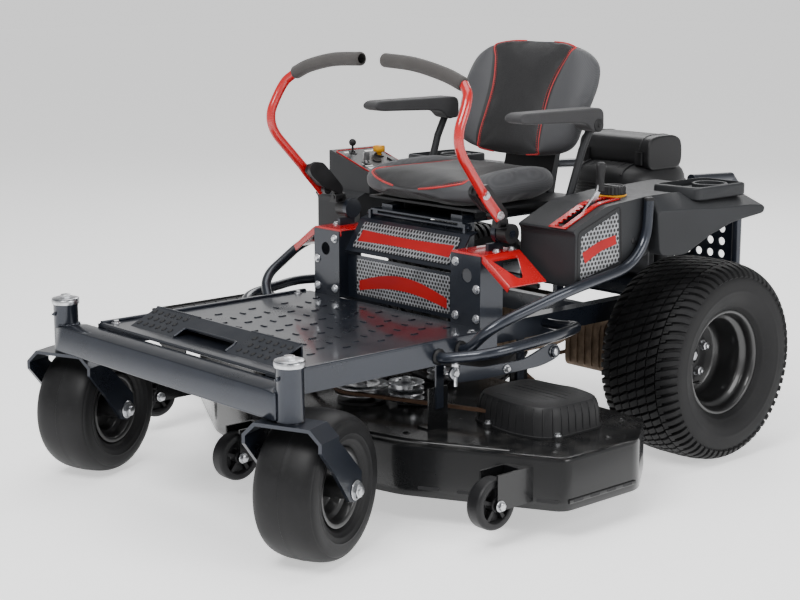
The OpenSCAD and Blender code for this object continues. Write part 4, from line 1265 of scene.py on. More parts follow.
def deck_slots():
    """Dark oval slots low on the near end and the front left panel, each a thin inlay whose dark
    finish paints the shade seen inside a slot.
    """
    parts = []
    oval = rounded(26, 4, 4, 4)
    for y in np.linspace(-728, -562, 4):
        parts.append(slab(oval * (0.62, 0.8), -0.6, 0.35, (702.9, y, 92), Y_AXIS, Z_AXIS))
    start, end = (np.array([*corner, 92.0]) for corner in DECK_OUTLINE[:2])
    for t in (0.1, 0.34, 0.58, 0.82):
        parts.append(slab(oval, -0.6, 0.9, start + (end - start) * t, start - end, Z_AXIS))
    return join(*parts)


piece("deck_trim", deck_trim(), "deck", deck_paint)
# the black inlays are painted shade: they stand where the slots' dark openings are
piece("deck_slots", deck_slots(), "deck", black_plastic, sharp=50)


COVER_FEET = ((-140, 30), (40, 124), (124, -70), (-60, -112))   # from the spindle


def belt_cover():
    """A moulded cover over an outer pulley: its plan outline shrinks by each level's share as
    it rises, with upright ribs round its wall and long ribs over its top."""
    cx, cy = SPINDLES[0]
    parts = []
    ring = bend([(-134, -96), (30, -126), (126, -96), (126, 96), (30, 126), (-40, 108),
                 (-148, 104), (-150, -20)], 46, 7, True)
    levels = np.array([(1.0, -0.5), (1.012, 0.5), (1.012, 5), (0.985, 6), (0.972, 14),
                       (0.955, 46), (0.93, 62), (0.885, 71), (0.80, 75.6), (0.60, 77.4),
                       (0.3, 77.8), (0.0, 77.9)])
    rings = np.array([level(ring * share + (cx, cy), DECK_TOP + z)
                      for share, z in levels])
    foot = level(ring * 0 + (cx, cy), DECK_TOP - 0.5)
    parts.append(grid(np.concatenate([foot[None], rings]), False, True))
    for k in range(-4, 5):
        reach = 108 - abs(k) * 5
        line = [(cx - reach, cy + k * 20, DECK_TOP + 73 - abs(k) * 0.7),
                (cx - reach * 0.7, cy + k * 20, DECK_TOP + 77.4 - abs(k) * 0.5),
                (cx + reach * 0.7, cy + k * 20, DECK_TOP + 77.4 - abs(k) * 0.5),
                (cx + reach * 0.86, cy + k * 20, DECK_TOP + 74 - abs(k) * 0.7)]
        parts.append(sweep(evenly(bend(line, 10, 4), 16), circle(1.0, 10) * (3.2, 1.8), Y_AXIS))
    wall = evenly(np.vstack([ring, ring[:1]]), 37)[:-1]
    for x, y in wall:
        base = np.array([x * 0.975 + cx, y * 0.975 + cy])
        top = np.array([x * 0.905 + cx, y * 0.905 + cy])
        line = [(*base, DECK_TOP + 6), (*(base * 0.7 + top * 0.3), DECK_TOP + 50),
                (*top, DECK_TOP + 68)]
        parts.append(sweep(evenly(line, 6), circle(2.2, 6), (0.7, -0.7, 0)))
    for x, y in COVER_FEET:
        parts.append(lathe([(0, 0), (0, 13), (7, 12), (8, 10), (8, 0)], (cx + x, cy + y, DECK_TOP),
                           Z_AXIS, 24))
    return join(*parts)


def cover_knobs():
    """Zinc bolts that hold the covers down."""
    cx, cy = SPINDLES[0]
    return join(*[bolt((cx + x, cy + y, DECK_TOP + 8), Z_AXIS, 12, 6, 9)
                  for x, y in COVER_FEET])


piece("belt_cover_set", both_sides(belt_cover()), "deck", belt_cover_plastic,
      ("belt_covers",), sharp=32)
piece("cover_bolts", both_sides(cover_knobs()), "deck", zinc)


def idler(place, radius, gap=26.0):
    """A double flat idler: two rimmed wheels pressed from sheet, one over the other."""
    r = radius
    half = [(0, 0), (0, 12), (2.5, 14), (4, r * 0.62), (1, r * 0.72), (0.5, r + 4), (3, r + 5),
            (5, r - 2), (15, r - 2), (17, r + 5), (19.5, r + 4), (19, r * 0.72), (16, r * 0.62),
            (17.5, 14), (20, 12), (20, 0)]
    wheel = lathe(half, place, Z_AXIS, 56)
    top = moved(wheel, (0, 0, gap))
    bolt_top = bolt(np.array(place) + (0, 0, gap + 20), Z_AXIS, 17, 9, 13)
    stem = lathe([(-14, 0), (-14, 9), (gap + 20, 9), (gap + 20, 0)], place, Z_AXIS, 20)
    return join(wheel, top, bolt_top, stem)


def idler_arm(place, reach, low=192.0):
    """A flat arm under an idler."""
    start = np.array(place, float)
    end = start + reach
    along = unit(reach)
    aside = np.array([-along[1], along[0]])
    outline = np.array([start - along * 22 + aside * 12, start - along * 22 - aside * 12,
                        end - aside * 15 + along * 18, end + aside * 15 + along * 18])
    return slab(bend(outline, 11, 5, True), low, low + 5)


piece("deck_idlers", join(idler((112, -712, 206), 40), idler((14, -500, 206), 34, 0.5)),
      "deck", zinc)
piece("idler_arms", join(idler_arm((112, -712), (70, 60)), idler_arm((14, -500), (-110, 20))),
      "deck", black_cast, bevel=0.8)


def pulley_rims(place, radius):
    """The rolled edges and hub bolt that a spindle's pulley shows from above."""
    x, y = place
    top = 232
    dish = lathe([(0.1, 16), (0.6, 24), (0.4, radius * 0.55), (2.2, radius * 0.62),
                  (2.4, radius * 0.86), (0.6, radius * 0.92), (0.2, radius + 6.9),
                  (-0.6, radius + 7.2), (-1.6, radius + 6.4), (-1.6, 16)], (x, y, top),
                 Z_AXIS, 56, True)
    nut = bolt((x, y, top + 12), Z_AXIS, 24, 11, 14)
    return join(dish, nut)


for side, place in zip("lcr", SPINDLES):
    piece("pulley_face_" + side, pulley_rims(place, 62), "cutter_" + side, zinc)

GAUGES = {"l": (607, -907), "c": (-64, -1105), "r": (-684, -927)}
GAUGE_Z = 100.0


def gauge_wheel(place):
    """A moulded wheel: a crowned tread, a stepped rim and, each side, five webs round a hub."""
    centre = (*place, GAUGE_Z)
    tread = bend([(-21, 42), (-21, 54), (-15, 58.8), (15, 58.8), (21, 54), (21, 42), (16, 40),
                  (5, 40), (5, 20), (-5, 20), (-5, 40), (-16, 40)], 4, 4, True)
    parts = [lathe(tread, centre, X_AXIS, 64, True),
             lathe([(-21, 6.2), (-21, 14), (-19, 16), (19, 16), (21, 14), (21, 6.2)], centre,
                   X_AXIS, 32, True)]
    web = slab(bend([(12, -3.2), (43, -5), (43, 5), (12, 3.2)], 1.5, 2, True), -17, 17, centre,
               Y_AXIS, Z_AXIS)
    parts.append(around(web, centre, X_AXIS, 5, 0.3))
    return join(*parts)


for side, place in GAUGES.items():
    piece("deck_wheel_" + side, gauge_wheel(place), "anti_scalp_" + side, black_plastic,
          ("gauge_wheel_" + side,), bevel=0.7)


def gauge_bolts():
    """A bolt head at each end of each gauge wheel's axle."""
    return join(*[bolt((x + way * 29.2, y, GAUGE_Z), (way, 0, 0), 17, 8.5, 13)
                  for x, y in GAUGES.values() for way in (1, -1)])


def lift_arms():
    """Curved arms beside the rails that the deck's lift links hang from: a plate in side view
    that rises to each end, with a boss at its pivot."""
    outline = bend([(-812, 330), (-790, 352), (-700, 330), (-560, 326), (-470, 352), (-436, 346),
                    (-440, 312), (-500, 300), (-700, 300), (-790, 306)], 20, 5, True)
    plate = slab(outline, 362, 368, *SIDE_VIEW)
    boss = lathe([(356, 0), (356, 15), (374, 15), (376, 13), (376, 0)], (0, -455, 330),
                 X_AXIS, 32)
    return join(plate, boss)


def lift_hardware():
    """The lift arm's bolts, and the threaded hanger with its nut."""
    bolts = [bolt((368, y, z), X_AXIS, size, 8, size * 0.95)
             for y, z, size in ((-455, 330, 17), (-792, 330, 15), (-620, 313, 11))]
    return join(*bolts, coarse_thread((372, -792, 300), Z_AXIS, 5.0, 62),
                moved(bolt((0, 0, 0), Z_AXIS, 15, 8), (372, -792, 346)))


piece("gauge_bolts", gauge_bolts(), "deck", zinc)
piece("lift_arms", both_sides(lift_arms()), "frame", frame_paint, bevel=1.0)
piece("lift_hardware", both_sides(lift_hardware()), "frame", zinc)


# ------------------------------------------------------------ floor and step

FLOOR_Z = 406.0
PAN = 355.0
STEP_FRONT, STEP_REAR = (-1252.0, 406.0), (-1173.0, 442.0)


def floor_grips():
    """Raised pills on the floor, in staggered rows, with one turned across at each row's end."""
    pill = rounded(11, 4.5, 4.4, 4)
    form = join(slab(pill, -0.3, 1.6), slab(pill * (0.86, 0.7), 1.5, 2.3))
    parts = []
    for j, y in enumerate(np.arange(-1120, -700, 52)):
        for i in range(-4, 5):
            x = i * 62 + (31 if j % 2 else 0)
            if abs(x) > 262:
                continue
            angle = 0 if (i + j) % 2 else math.pi / 2
            parts.append(moved(turned(form, (0, 0, 0), Z_AXIS, angle), (x, y, FLOOR_Z)))
    return join(*parts)


def floor_edges():
    """The pan's folded side edges and the seam of its front fold."""
    parts = []
    for sign in (1, -1):
        line = [(sign * (PAN - 6), -1290, FLOOR_Z + 2), (sign * (PAN - 6), -662, FLOOR_Z + 2)]
        parts.append(sweep(evenly(line, 6), rounded(6, 4, 3, 4),
                           X_AXIS))
    line = [(-PAN + 6, -1291, FLOOR_Z - 1), (PAN - 6, -1291, FLOOR_Z - 1)]
    parts.append(sweep(evenly(line, 6), rounded(5, 4, 3, 4),
                       Y_AXIS))
    return join(*parts)


def step_stars():
    """Rows of pierced stars near both ends of the step: an eight-pointed outline whose radius is
    8.2 at its points and 3.6 between, as thin inlays in the slope; their dark finish paints the
    shade seen through the holes."""
    angle = np.arange(16) * TURN / 16
    radius = np.where(np.arange(16) % 2, 3.6, 8.2)
    star = np.stack([radius * np.cos(angle), radius * np.sin(angle)], -1)
    rise = unit(np.array([0, STEP_REAR[0] - STEP_FRONT[0], STEP_REAR[1] - STEP_FRONT[1]]))
    parts = []
    for sign in (1, -1):
        for j, share in enumerate((0.22, 0.5, 0.78)):
            for i in range(6):
                x = sign * (136 + i * 26 + (13 if j % 2 else 0))
                if abs(x) > 268:
                    continue
                place = (x, STEP_FRONT[0] + share * 79, STEP_FRONT[1] + share * 36)
                parts.append(slab(star, -0.8, 0.7, place, X_AXIS, rise))
    return join(*parts)


def step_hems():
    """Rounded hems along the step's rear edge and round its notch."""
    parts = []
    for x0, x1 in ((-281, -102), (102, 281)):
        parts.append(tube([(x0, -1172, 440.8), (x1, -1172, 440.8)], 3.4, 14))
    notch = bend([(-102, -1248, 408.5), (-102, -1214, 424), (102, -1214, 424), (102, -1248, 408.5)],
                 12, 5)
    parts.append(tube(notch, 2.6, 12))
    return join(*parts)


piece("floor_grips", floor_grips(), "frame", frame_paint, sharp=45)
piece("floor_edges", floor_edges(), "frame", frame_paint)
# the black star inlays are painted shade, standing for the dark of the pierced holes
piece("step_stars", step_stars(), "frame", black_plastic)
piece("step_hems", step_hems(), "frame", frame_paint)


def front_fixings():
    """Bolts and washers on the towers, the beam, the floor and the pan."""
    parts = []
    for sign in (1, -1):
        for x, z in ((300, 500), (228, 560), (300, 428), (228, 428)):
            parts.append(bolt((sign * x, -656, z), (0, -1, 0), 13, 6, 11))
        for y in (-1262, -700):
            parts.append(bolt((sign * 330, y, FLOOR_Z), Z_AXIS, 13, 6, 11))
        for y in (-610, -560):
            parts.append(bolt((sign * 300, y + 20, 584), Z_AXIS, 12, 5, 10))
    return join(*parts)


piece("front_fixings", front_fixings(), "frame", zinc)


def panel_axes(corners):
    """A panel's first corner and its two edges from there."""
    a, b, _, d = (np.array(p, float) for p in corners)
    return a, b - a, d - a


def panel_print(corners):
    """A thin printed sheet on a panel, from its four corners, with rounded outline."""
    a, u, v = panel_axes(corners)
    wide, high = np.linalg.norm(u), np.linalg.norm(v)
    outline = bend([(0, 0), (wide, 0), (wide, high), (0, high)], 9, 5, True)
    return slab(outline, 0.05, 0.6, a, u, v)


def swoosh(corners, low, high):
    """A generic curved stripe on a printed sheet: two arcs across it, low and high being their
    shares of the sheet's height at each end and the middle."""
    a, u, v = panel_axes(corners)
    t = np.linspace(0.03, 0.97, 22)
    bottom = low[0] + (low[1] - low[0]) * np.sin(t * math.pi)
    top = high[0] + (high[1] - high[0]) * np.sin(t * math.pi)
    size = np.array([np.linalg.norm(u), np.linalg.norm(v)])
    outline = np.vstack([np.stack([t, bottom], -1), np.stack([t, top], -1)[::-1]]) * size
    return slab(outline, 0.3, 0.9, a, u, v)


UPPER = ((-182, -635.4, 542.1), (182, -635.4, 542.1), (182, -592.6, 603.6), (-182, -592.6, 603.6))
LOWER = ((-176, -625.1, 417), (176, -625.1, 417), (176, -625.1, 512), (-176, -625.1, 512))


piece("upper_print", panel_print(UPPER), "frame", mesh_front, sharp=60)
piece("lower_print", panel_print(LOWER), "frame", mesh_front, sharp=60)
piece("upper_stripe", swoosh(UPPER, (0.24, 0.30), (0.70, 0.64)), "frame", red_plastic,
      sharp=60)
piece("lower_stripe", swoosh(LOWER, (0.10, 0.34), (0.36, 0.72)), "frame", red_plastic,
      sharp=60)


def guard_plate():
    """A folded red plate over each tower: flat on top, then down and outwards, its front edge
    turned down in a lip."""
    top = 580.0
    outline = bend([(207, top + 0.3), (313.1, top + 0.3), (404, top - 64), (406, top - 60),
                    (316, top + 4), (207, top + 4)], 2.5, 3, True)
    plate = slab(outline, 526, 650, *FRONT_VIEW)
    lip = sweep(evenly(bend([(210, -650, top - 4), (312, -650, top - 4), (402, -650, top - 66)], 10,
                            5), 30), rounded(2, 9, 1.5, 3),
                Y_AXIS)
    return join(plate, lip)


guard = piece("guard_plate_set", both_sides(guard_plate()), "frame", red_paint,
              ("guard_plates",), bevel=1.0)
window = slab(bend([(330, -640), (388, -604), (388, -588), (330, -548)], 5, 3, True), 490, 600)
cut(guard, window, mirrored(window))


def chute_ribs():
    """Moulded ribs down the chute's slope and a rolled lip at its end."""
    (x0, y0, z0), (x1, y1, z1) = node_box("discharge_chute")
    hinge, tip = (x1 - 8, z0 + 40), (x0 + 2, z1 - 2)
    parts = [tube([(tip[0] + 2, y0 + 3, tip[1] - 1), (tip[0] + 2, y1 - 3, tip[1] - 1)], 4.2, 12)]
    rise = (tip[1] - hinge[1]) / (tip[0] - hinge[0])
    for y in np.linspace(y0 + 22, y1 - 22, 11):
        path = [(x, y, hinge[1] + rise * (x - hinge[0]) + 0.6) for x in (x1 - 26, x0 + 8)]
        parts.append(tube(path, 2.6, 8))
    return join(*parts)


piece("chute_ribs", chute_ribs(), "chute", belt_cover_plastic)


# ---------------------------------------------------------------- body work

CONSOLE_IN, CONSOLE_OUT = 300.0, 480.0
CONSOLE_SIDE = [(-508, 636), (-520, 646), (-400, 694), (-250, 706), (-150, 706), (-150, 640),
                (-250, 560), (-508, 505)]


def console_body():
    """A moulded console: its side outline with rounded corners, given width."""
    return slab(bend(CONSOLE_SIDE, 13, 5, True), CONSOLE_IN, CONSOLE_OUT, *SIDE_VIEW)


def block(low, high):
    (x0, y0, z0), (x1, y1, z1) = low, high
    return slab([(x0, y0), (x1, y0), (x1, y1), (x0, y1)], z0, z1)


console_l = piece("console_shell_l", console_body(), "frame", body_plastic,
                  ("console_l",), bevel=7)
cut(console_l, block((416, -497, 480), (444, -328, 730)),
    lathe([(0, 0), (0, 27.5), (44, 27.5), (44, 0)], (400, -291, 680), Z_AXIS, 40))
piece("console_shell_r", mirrored(console_body()), "frame", body_plastic,
      ("console_r",), bevel=7)


def stripe(points, width, lift, origin, u, v):
    """A flat band along a smooth line in a panel's plane: the line moved half of its width to
    each side, tapering a little towards its end."""
    line = evenly(through(points, 8), 40)
    run = unit(np.gradient(line, axis=0))
    side = np.stack([-run[:, 1], run[:, 0]], -1)
    half = np.linspace(1.0, 0.8, 40)[:, None] * width / 2
    return slab(np.vstack([line + side * half, (line - side * half)[::-1]]), 0.3, lift, origin,
                u, v)


def console_print(name, side):
    """A perforated sheet on a console's flank with one plain arched band across it."""
    outline = bend([(-490, 527), (-352, 556), (-360, 678), (-490, 630)], 7, 4, True)
    origin = (CONSOLE_OUT, 0, 0)
    sheet = slab(outline, 0.05, 0.7, origin, *ALONG_SIDE)
    band = stripe([(-480, 578), (-424, 600), (-366, 611)], 28, 1.1, origin, *ALONG_SIDE)
    piece(name + "_sheet", side(sheet), "frame", mesh_print, sharp=60)
    piece(name + "_arc", side(band), "frame", red_plastic, sharp=60)


for side, flip in SIDES:
    console_print("flank_" + side, flip)


def console_trim():
    """Raised frames round the flank sheets, a seam along each console's foot and two screws."""
    corners = [(-499, 516), (-343, 549), (-351, 690), (-499, 640)]
    ring = evenly(np.vstack([bend(corners, 10, 4, True), [(-499, 526)]]), 60)[:-1]
    path = upright(CONSOLE_OUT + 0.3, ring)
    frame_rim = sweep(path, circle(1.0, 8) * (1.6, 2.6), X_AXIS, loop=True)
    foot = [(CONSOLE_OUT - 0.6, -496, 512), (CONSOLE_OUT - 0.6, -262, 562)]
    parts = [frame_rim, tube(foot, 3.0, 10)]
    for y, z in ((-300, 600), (-215, 668)):
        parts.append(lathe([(0, 0), (0, 8), (1.6, 7.4), (2.6, 5), (2.8, 0)], (CONSOLE_OUT, y, z),
                           X_AXIS, 24))
    return both_sides(join(*parts))


piece("console_trim", console_trim(), "frame", black_plastic)


def height_index():
    """The red plate round the height lever's slot, with a notch every 15 mm along it."""
    top = [(-516, 651.5), (-400, 697.5), (-328, 703.2)]
    path = evenly(bend(top, 16, 5), 50)
    parts = []
    for x0, x1 in ((403, 417.5), (442.5, 457)):
        middle, half = (x0 + x1) / 2, (x1 - x0) / 2
        line = upright(middle, path)
        parts.append(sweep(line, np.array([(-half, -1.6), (half, -1.6), (half, 1.6), (-half, 1.6)]),
                           X_AXIS))
    for share in np.linspace(0.05, 0.93, 12):
        y, z = path[int(share * (len(path) - 1))]
        rise = (0, 0.93, 0.37) if y < -400 else (0, 0.997, 0.08)
        tooth = bend([(415, -4.4), (424, -3), (424, 3), (415, 4.4)], 1.2, 2, True)
        parts.append(slab(tooth - (430, 0), -1.5, 1.5, (430, y, z), X_AXIS, rise))
    for y, z in (path[0], path[-1]):
        parts.append(rounded_box((403, y - 4, z - 2), (457, y + 4, z + 1.4), 2))
    return join(*parts)


piece("height_index", height_index(), "frame", red_paint)


def fuel_cap():
    """A knurled cap: its wall's radius is 33 + cos(22a), with a raised bar across its top."""
    angle = np.arange(176) * TURN / 176
    levels = [(0.0, 0.0), (1.0, 0.0), (1.03, 2), (1.0, 5), (1.0, 16), (0.95, 20), (0.86, 21.6),
              (0.80, 21.2), (0.76, 18.6), (0.0, 18.6)]
    wave = 33 + 0.9 * np.cos(22 * angle)
    plan = circle(1.0, 176) * wave[:, None]
    rings = np.array([level(plan * s + (400, -291), 707.0 + z) for s, z in levels])
    grip = rounded_box((377, -297, 724), (423, -285, 728), 5, 5)
    neck = lathe([(-22, 0), (-22, 25.4), (1, 25.4), (1, 0)], (400, -291, 706), Z_AXIS, 40)
    return join(grid(rings, False, True), grip, neck)


piece("fuel_cap_top", fuel_cap(), "tank_cap", black_plastic, ("fuel_cap",))
piece("filler_ring", lathe([(-4, 29), (-4, 36), (-0.6, 36.6), (0.1, 35.6), (0.1, 29)],
                           (400, -291, 706), Z_AXIS, 48, True), "frame", yellow_plastic)


def fender_form():
    """A wheel guard: an inner deck and a flank outside it. The flank's outer edge is drawn in
    towards the front and lowered at the top, so that its faces slope as a moulding's do."""
    inner = slab(bend([(-150, 612), (-150, 690), (60, 698), (100, 694), (93, 654), (-40, 638)],
                      14, 5, True), 231, 500, *SIDE_VIEW)
    outline = bend([(-243, 705), (-150, 707), (60, 698), (112, 690), (106, 664), (-30, 648),
                    (-104, 618), (-176, 560), (-243, 560)], 16, 6, True)
    outline = evenly(np.vstack([outline, outline[:1]]), 90)[:-1]
    points, faces = slab(outline, 478, 574, *SIDE_VIEW)
    points = np.array(points, float)
    edge = points[:, 0] > 560
    height = np.clip((points[:, 2] - 575) / 130, 0, 1)
    front = np.clip((-70 - points[:, 1]) / 173, 0, 1)
    points[:, 0] -= edge * (58 * front ** 1.4 + 10 * height)
    points[:, 2] -= edge * 36 * height
    return join(inner, (points, faces))


piece("fender_set", both_sides(fender_form()), "frame", body_plastic, ("fenders",),
      bevel=7)


def tray(name, side):
    """A raised tray block on a wheel guard, hollowed, with a cup ring and ribs in it."""
    outline = bend([(396, -138), (540, -126), (540, 66), (396, 66)], 20, 6, True)
    form = slab(outline, 686, 719, (0, 0, 0), X_AXIS, Y_AXIS)
    made = piece(name, side(form), "frame", body_plastic, bevel=6)
    centre = outline.mean(axis=0)
    hollow = slab(centre + (outline - centre) * (0.88, 0.91), 704, 740, (0, 0, 0), X_AXIS,
                  Y_AXIS)
    cut(made, side(hollow))
    cup = lathe([(0, 38), (11, 38), (12.5, 40), (12.5, 43), (11, 45), (0, 45)], (468, 6, 703.5),
                Z_AXIS, 48, True)
    ribs = [tube([(412, y, 704), (524, y, 704)], 2.2, 8) for y in (-112, -98, -84, -70)]
    piece(name + "_cup", side(join(cup, *ribs)), "frame", body_plastic)


for side, flip in SIDES:
    tray("tray_" + side, flip)

PANEL = (-282.0, -490.0, 712.0)
PANEL_U, PANEL_V = Y_AXIS, (-158, 0, 50)
PANEL_UP = unit(np.cross(PANEL_U, PANEL_V))
PANEL_RING = rectangle((6, 8), (154, 156), 12, 5)


def on_panel(a, b, out=1.5):
    """A place on the switch panel, a back from its front edge and b across it."""
    return (np.array(PANEL) + np.multiply.outer(a, unit(PANEL_U))
            + np.multiply.outer(b, unit(PANEL_V)) + PANEL_UP * out)


def panel_plate():
    """The switch plate on the operator's right: a thin rounded sheet."""
    return slab(PANEL_RING, 0.1, 1.6, PANEL, PANEL_U, PANEL_V)


def panel_ring():
    """A round bead along the switch plate's edge."""
    path = on_panel(PANEL_RING[:, 0], PANEL_RING[:, 1])
    return sweep(path, circle(2.0, 8), PANEL_UP, loop=True)


def panel_labels():
    """Plain pale blocks beside the controls, with no lettering."""
    parts = []
    for a, b, wide, high in ((22, 22, 26, 12), (22, 40, 26, 8), (22, 54, 26, 8), (100, 24, 40, 14),
                             (104, 46, 30, 8), (24, 134, 34, 10), (96, 132, 44, 10)):
        parts.append(slab(bend([(a, b), (a + wide, b), (a + wide, b + high), (a, b + high)], 2, 3,
                               True), 1.5, 2.1, PANEL, PANEL_U, PANEL_V))
    return join(*parts)


def panel_controls():
    """Bezels round the key, the knob and the throttle, a rocker and two round gauges."""
    parts = []
    for a, b, r in ((120, 103, 14), (40, 61, 14), (50, 134, 12)):
        parts.append(lathe([(0, 8), (0, r), (2.6, r - 0.6), (3.2, r - 2.4), (3.2, 8)],
                           on_panel(a, b), PANEL_UP, 36, True))
    for a, b in ((84, 30), (84, 70)):
        parts.append(lathe([(0, 0), (0, 13), (3, 12.4), (4, 11), (3, 9.6), (2.4, 0)],
                           on_panel(a, b), PANEL_UP, 36))
    parts.append(slab(rectangle((128, 56), (146, 80), 3, 3), 1.4, 6,
                      PANEL, PANEL_U, PANEL_V))
    return join(*parts)


pale_label = coating("pale_label", (0.60, 0.60, 0.58), 0.5, grain=500.0, depth=0.01)
piece("switch_plate", panel_plate(), "frame", black_plastic, sharp=60)
piece("switch_plate_edge", panel_ring(), "frame", red_plastic)
piece("switch_labels", panel_labels(), "frame", pale_label, sharp=60)
piece("switch_bezels", panel_controls(), "frame", black_plastic)


def knob_top(centre):
    """A pull knob: a waisted stem under a button with a domed face."""
    return lathe([(-6, 0), (-6, 6.0), (8, 6.4), (12, 9), (13, 15), (15, 16.4), (25, 16.6),
                  (28, 15.4), (30, 11), (30.8, 0)], centre, Z_AXIS, 40)


low, high = node_box("pto_knob")
knob_at = ((low[0] + high[0]) / 2, (low[1] + high[1]) / 2, high[2] - 29)
piece("blade_switch_knob", knob_top(knob_at), "pto_switch", yellow_plastic)


def lever_rod():
    """The deck height lever: a bent zinc strip from its boss up to the grip."""
    path = bend([(-460, 545), (-438, 664), (-374, 722), (-369, 752)], 24, 6)
    line = upright(430.0, path)
    section = rounded(7, 2.8, 1.2, 2)
    boss = lathe([(-12, 6.4), (-12, 15.2), (-11, 16), (11, 16), (12, 15.2), (12, 6.4)],
                 (430, -460, 545), X_AXIS, 36, True)
    return join(sweep(line, section[:, ::-1], X_AXIS), boss)


def lever_rubber():
    """The height lever's rubber grip, a waisted form with three twisted flutes: its radius is
    r(z) + 1.1·cos(3a + z/14)."""
    angle = np.arange(72) * TURN / 72
    levels = [(0, 0.0), (9.5, 0.0), (11.0, 2), (10.2, 14), (9.6, 30), (10.6, 46), (12.2, 58),
              (12.4, 64), (10.4, 69), (6, 71), (0, 71.6)]
    fine = evenly(np.array(levels, float), 60)
    rings = []
    for radius, z in fine:
        r = radius * (1 + 0.09 * np.cos(3 * angle + z / 14))
        rings.append(np.column_stack([430 + r * np.cos(angle), -369 + r * np.sin(angle),
                                      np.full(72, 722.2 + z)]))
    return grid(np.array(rings), False, True)


piece("height_rod", lever_rod(), "lift_lever", zinc, ("height_lever",), bevel=0.4)
piece("lever_rubber", lever_rubber(), "lift_lever", black_plastic)


# ------------------------------------------------------------------- engine

ENGINE_Y = 242.0
COVER_TOP = node_box("engine_cover")[1][2]
COVER_R = (node_box("engine_cover")[1][0] - node_box("engine_cover")[0][0]) / 2
COVER_LOW = node_box("engine_cover")[0][2]


def squared_ring(radius, count=144, power=2.7):
    """A rounded square: x = r·cos(a)^(2/p), y = r·sin(a)^(2/p)."""
    a = np.arange(count) * TURN / count
    c, s = np.cos(a), np.sin(a)
    return radius * np.stack([np.sign(c) * np.abs(c) ** (2 / power),
                              np.sign(s) * np.abs(s) ** (2 / power)], -1)


def stacked(levels, ring, z0):
    """A closed form whose plan is a ring scaled by each level's share at its height."""
    rings = np.array([level(ring * share + (0, ENGINE_Y), z0 + z)
                      for share, z in levels])
    return grid(rings, False, True)


def shroud():
    """The engine's cover: a skirt, a waist, and a rounded shoulder falling away from the
    filter housing that sits on it."""
    levels = [(0.0, 0.2), (0.93, 0.2), (0.955, 4), (0.96, 54), (0.965, 56), (1.0, 60), (1.0, 96),
              (0.99, 99), (0.985, 103), (0.985, 132), (0.97, 150), (0.93, 165), (0.86, 176),
              (0.74, 184), (0.60, 189), (0.40, 192), (0.0, 193)]
    return stacked(levels, squared_ring(COVER_R), COVER_LOW)


def housing_outline(half, low, top):
    """The filter housing in side view: half its length, its lowest level and its top."""
    return bend([(ENGINE_Y - half, low), (ENGINE_Y + half, low), (ENGINE_Y + half, 778),
                 (ENGINE_Y + 42, top), (ENGINE_Y - 42, top), (ENGINE_Y - half, 778)], 34, 8, True)


def filter_housing():
    """The air filter housing across the cover: a D-shaped side outline given width."""
    return slab(housing_outline(74, 700, COVER_TOP), -128, 130, *SIDE_VIEW)


def shroud_ribs():
    """Louvres round the skirt, ribs on the shoulder, and the housing's band and latches."""
    parts = []
    for k in range(5):
        ring = squared_ring(COVER_R * 0.988) + (0, ENGINE_Y)
        path = level(ring, COVER_LOW + 104 + k * 8)
        parts.append(sweep(path, circle(1.0, 6) * (1.6, 2.2), Z_AXIS, loop=True))
    for sign in (1, -1):
        for k in range(7):
            x = -78 + k * 26
            y0, y1 = ENGINE_Y + sign * 76, ENGINE_Y + sign * 128
            parts.append(tube(through([(x, y0, 717), (x, ENGINE_Y + sign * 108, 708),
                                       (x, y1, 690)], 6), 3.0, 8))
    for x in (-96, 98):
        path = upright(float(x), housing_outline(75, 702, COVER_TOP + 0.5))
        parts.append(sweep(path, circle(1.0, 8) * (2.6, 1.2), X_AXIS, loop=True))
        for sign in (1, -1):
            parts.append(rounded_box((x - 12, ENGINE_Y + sign * 76 - 5, 716),
                                     (x + 12, ENGINE_Y + sign * 76 + 5, 752), 3))
    return join(*parts)


piece("engine_shroud", shroud(), "frame", cover_plastic, ("engine_cover",),
      sharp=32)
piece("filter_housing", filter_housing(), "frame", cover_plastic, bevel=7)
piece("shroud_ribs", shroud_ribs(), "frame", black_plastic)


def engine_fins():
    """Cooling fins round the crankcase and stacked on both cylinders, with a rocker cover on
    each cylinder's end."""
    floor = node_box("engine_block")[0][2]
    fins = [lathe([(z, 90), (z, 110), (z + 3, 110), (z + 3, 90)], (0, ENGINE_Y, floor), Z_AXIS,
                  48, True) for z in range(12, 122, 11)]
    for turn in (-135, -45):
        angle = math.radians(turn)
        head = [rounded_box((reach, -60, 16), (reach + 3.2, 60, 122), 1.2, 2)
                for reach in range(84, 174, 10)]
        cover = rounded_box((176, -46, 30), (190, 46, 110), 6, 4)
        plug = bolt((184, 0, 70), X_AXIS, 16, 12)
        fins.append(moved(turned(join(*head, cover, plug), (0, 0, 0), Z_AXIS, angle),
                          (0, ENGINE_Y, floor)))
    return join(*fins)


def engine_fittings():
    """An oil filter, a dipstick tube and a starter at the engine's sides."""
    filter_can = lathe([(0, 0), (0, 30), (3, 34), (10, 35), (62, 35), (68, 31), (70, 12), (70, 0)],
                       (-90, ENGINE_Y + 60, 452), (-0.72, 0.5, -0.1), 36)
    starter = lathe([(0, 0), (0, 26), (6, 29), (78, 29), (84, 25), (90, 12), (90, 0)],
                    (118, ENGINE_Y - 6, 424), Z_AXIS, 32)
    stick = soft_bar(evenly(through([(-118, ENGINE_Y - 40, 440), (-150, ENGINE_Y - 60, 520),
                                     (-156, ENGINE_Y - 70, 610)], 8), 30), 7, 3, 40, 12)
    return join(filter_can, starter, stick)


piece("engine_fins", engine_fins(), "frame", engine_metal)
piece("engine_fittings", engine_fittings(), "frame", black_plastic)


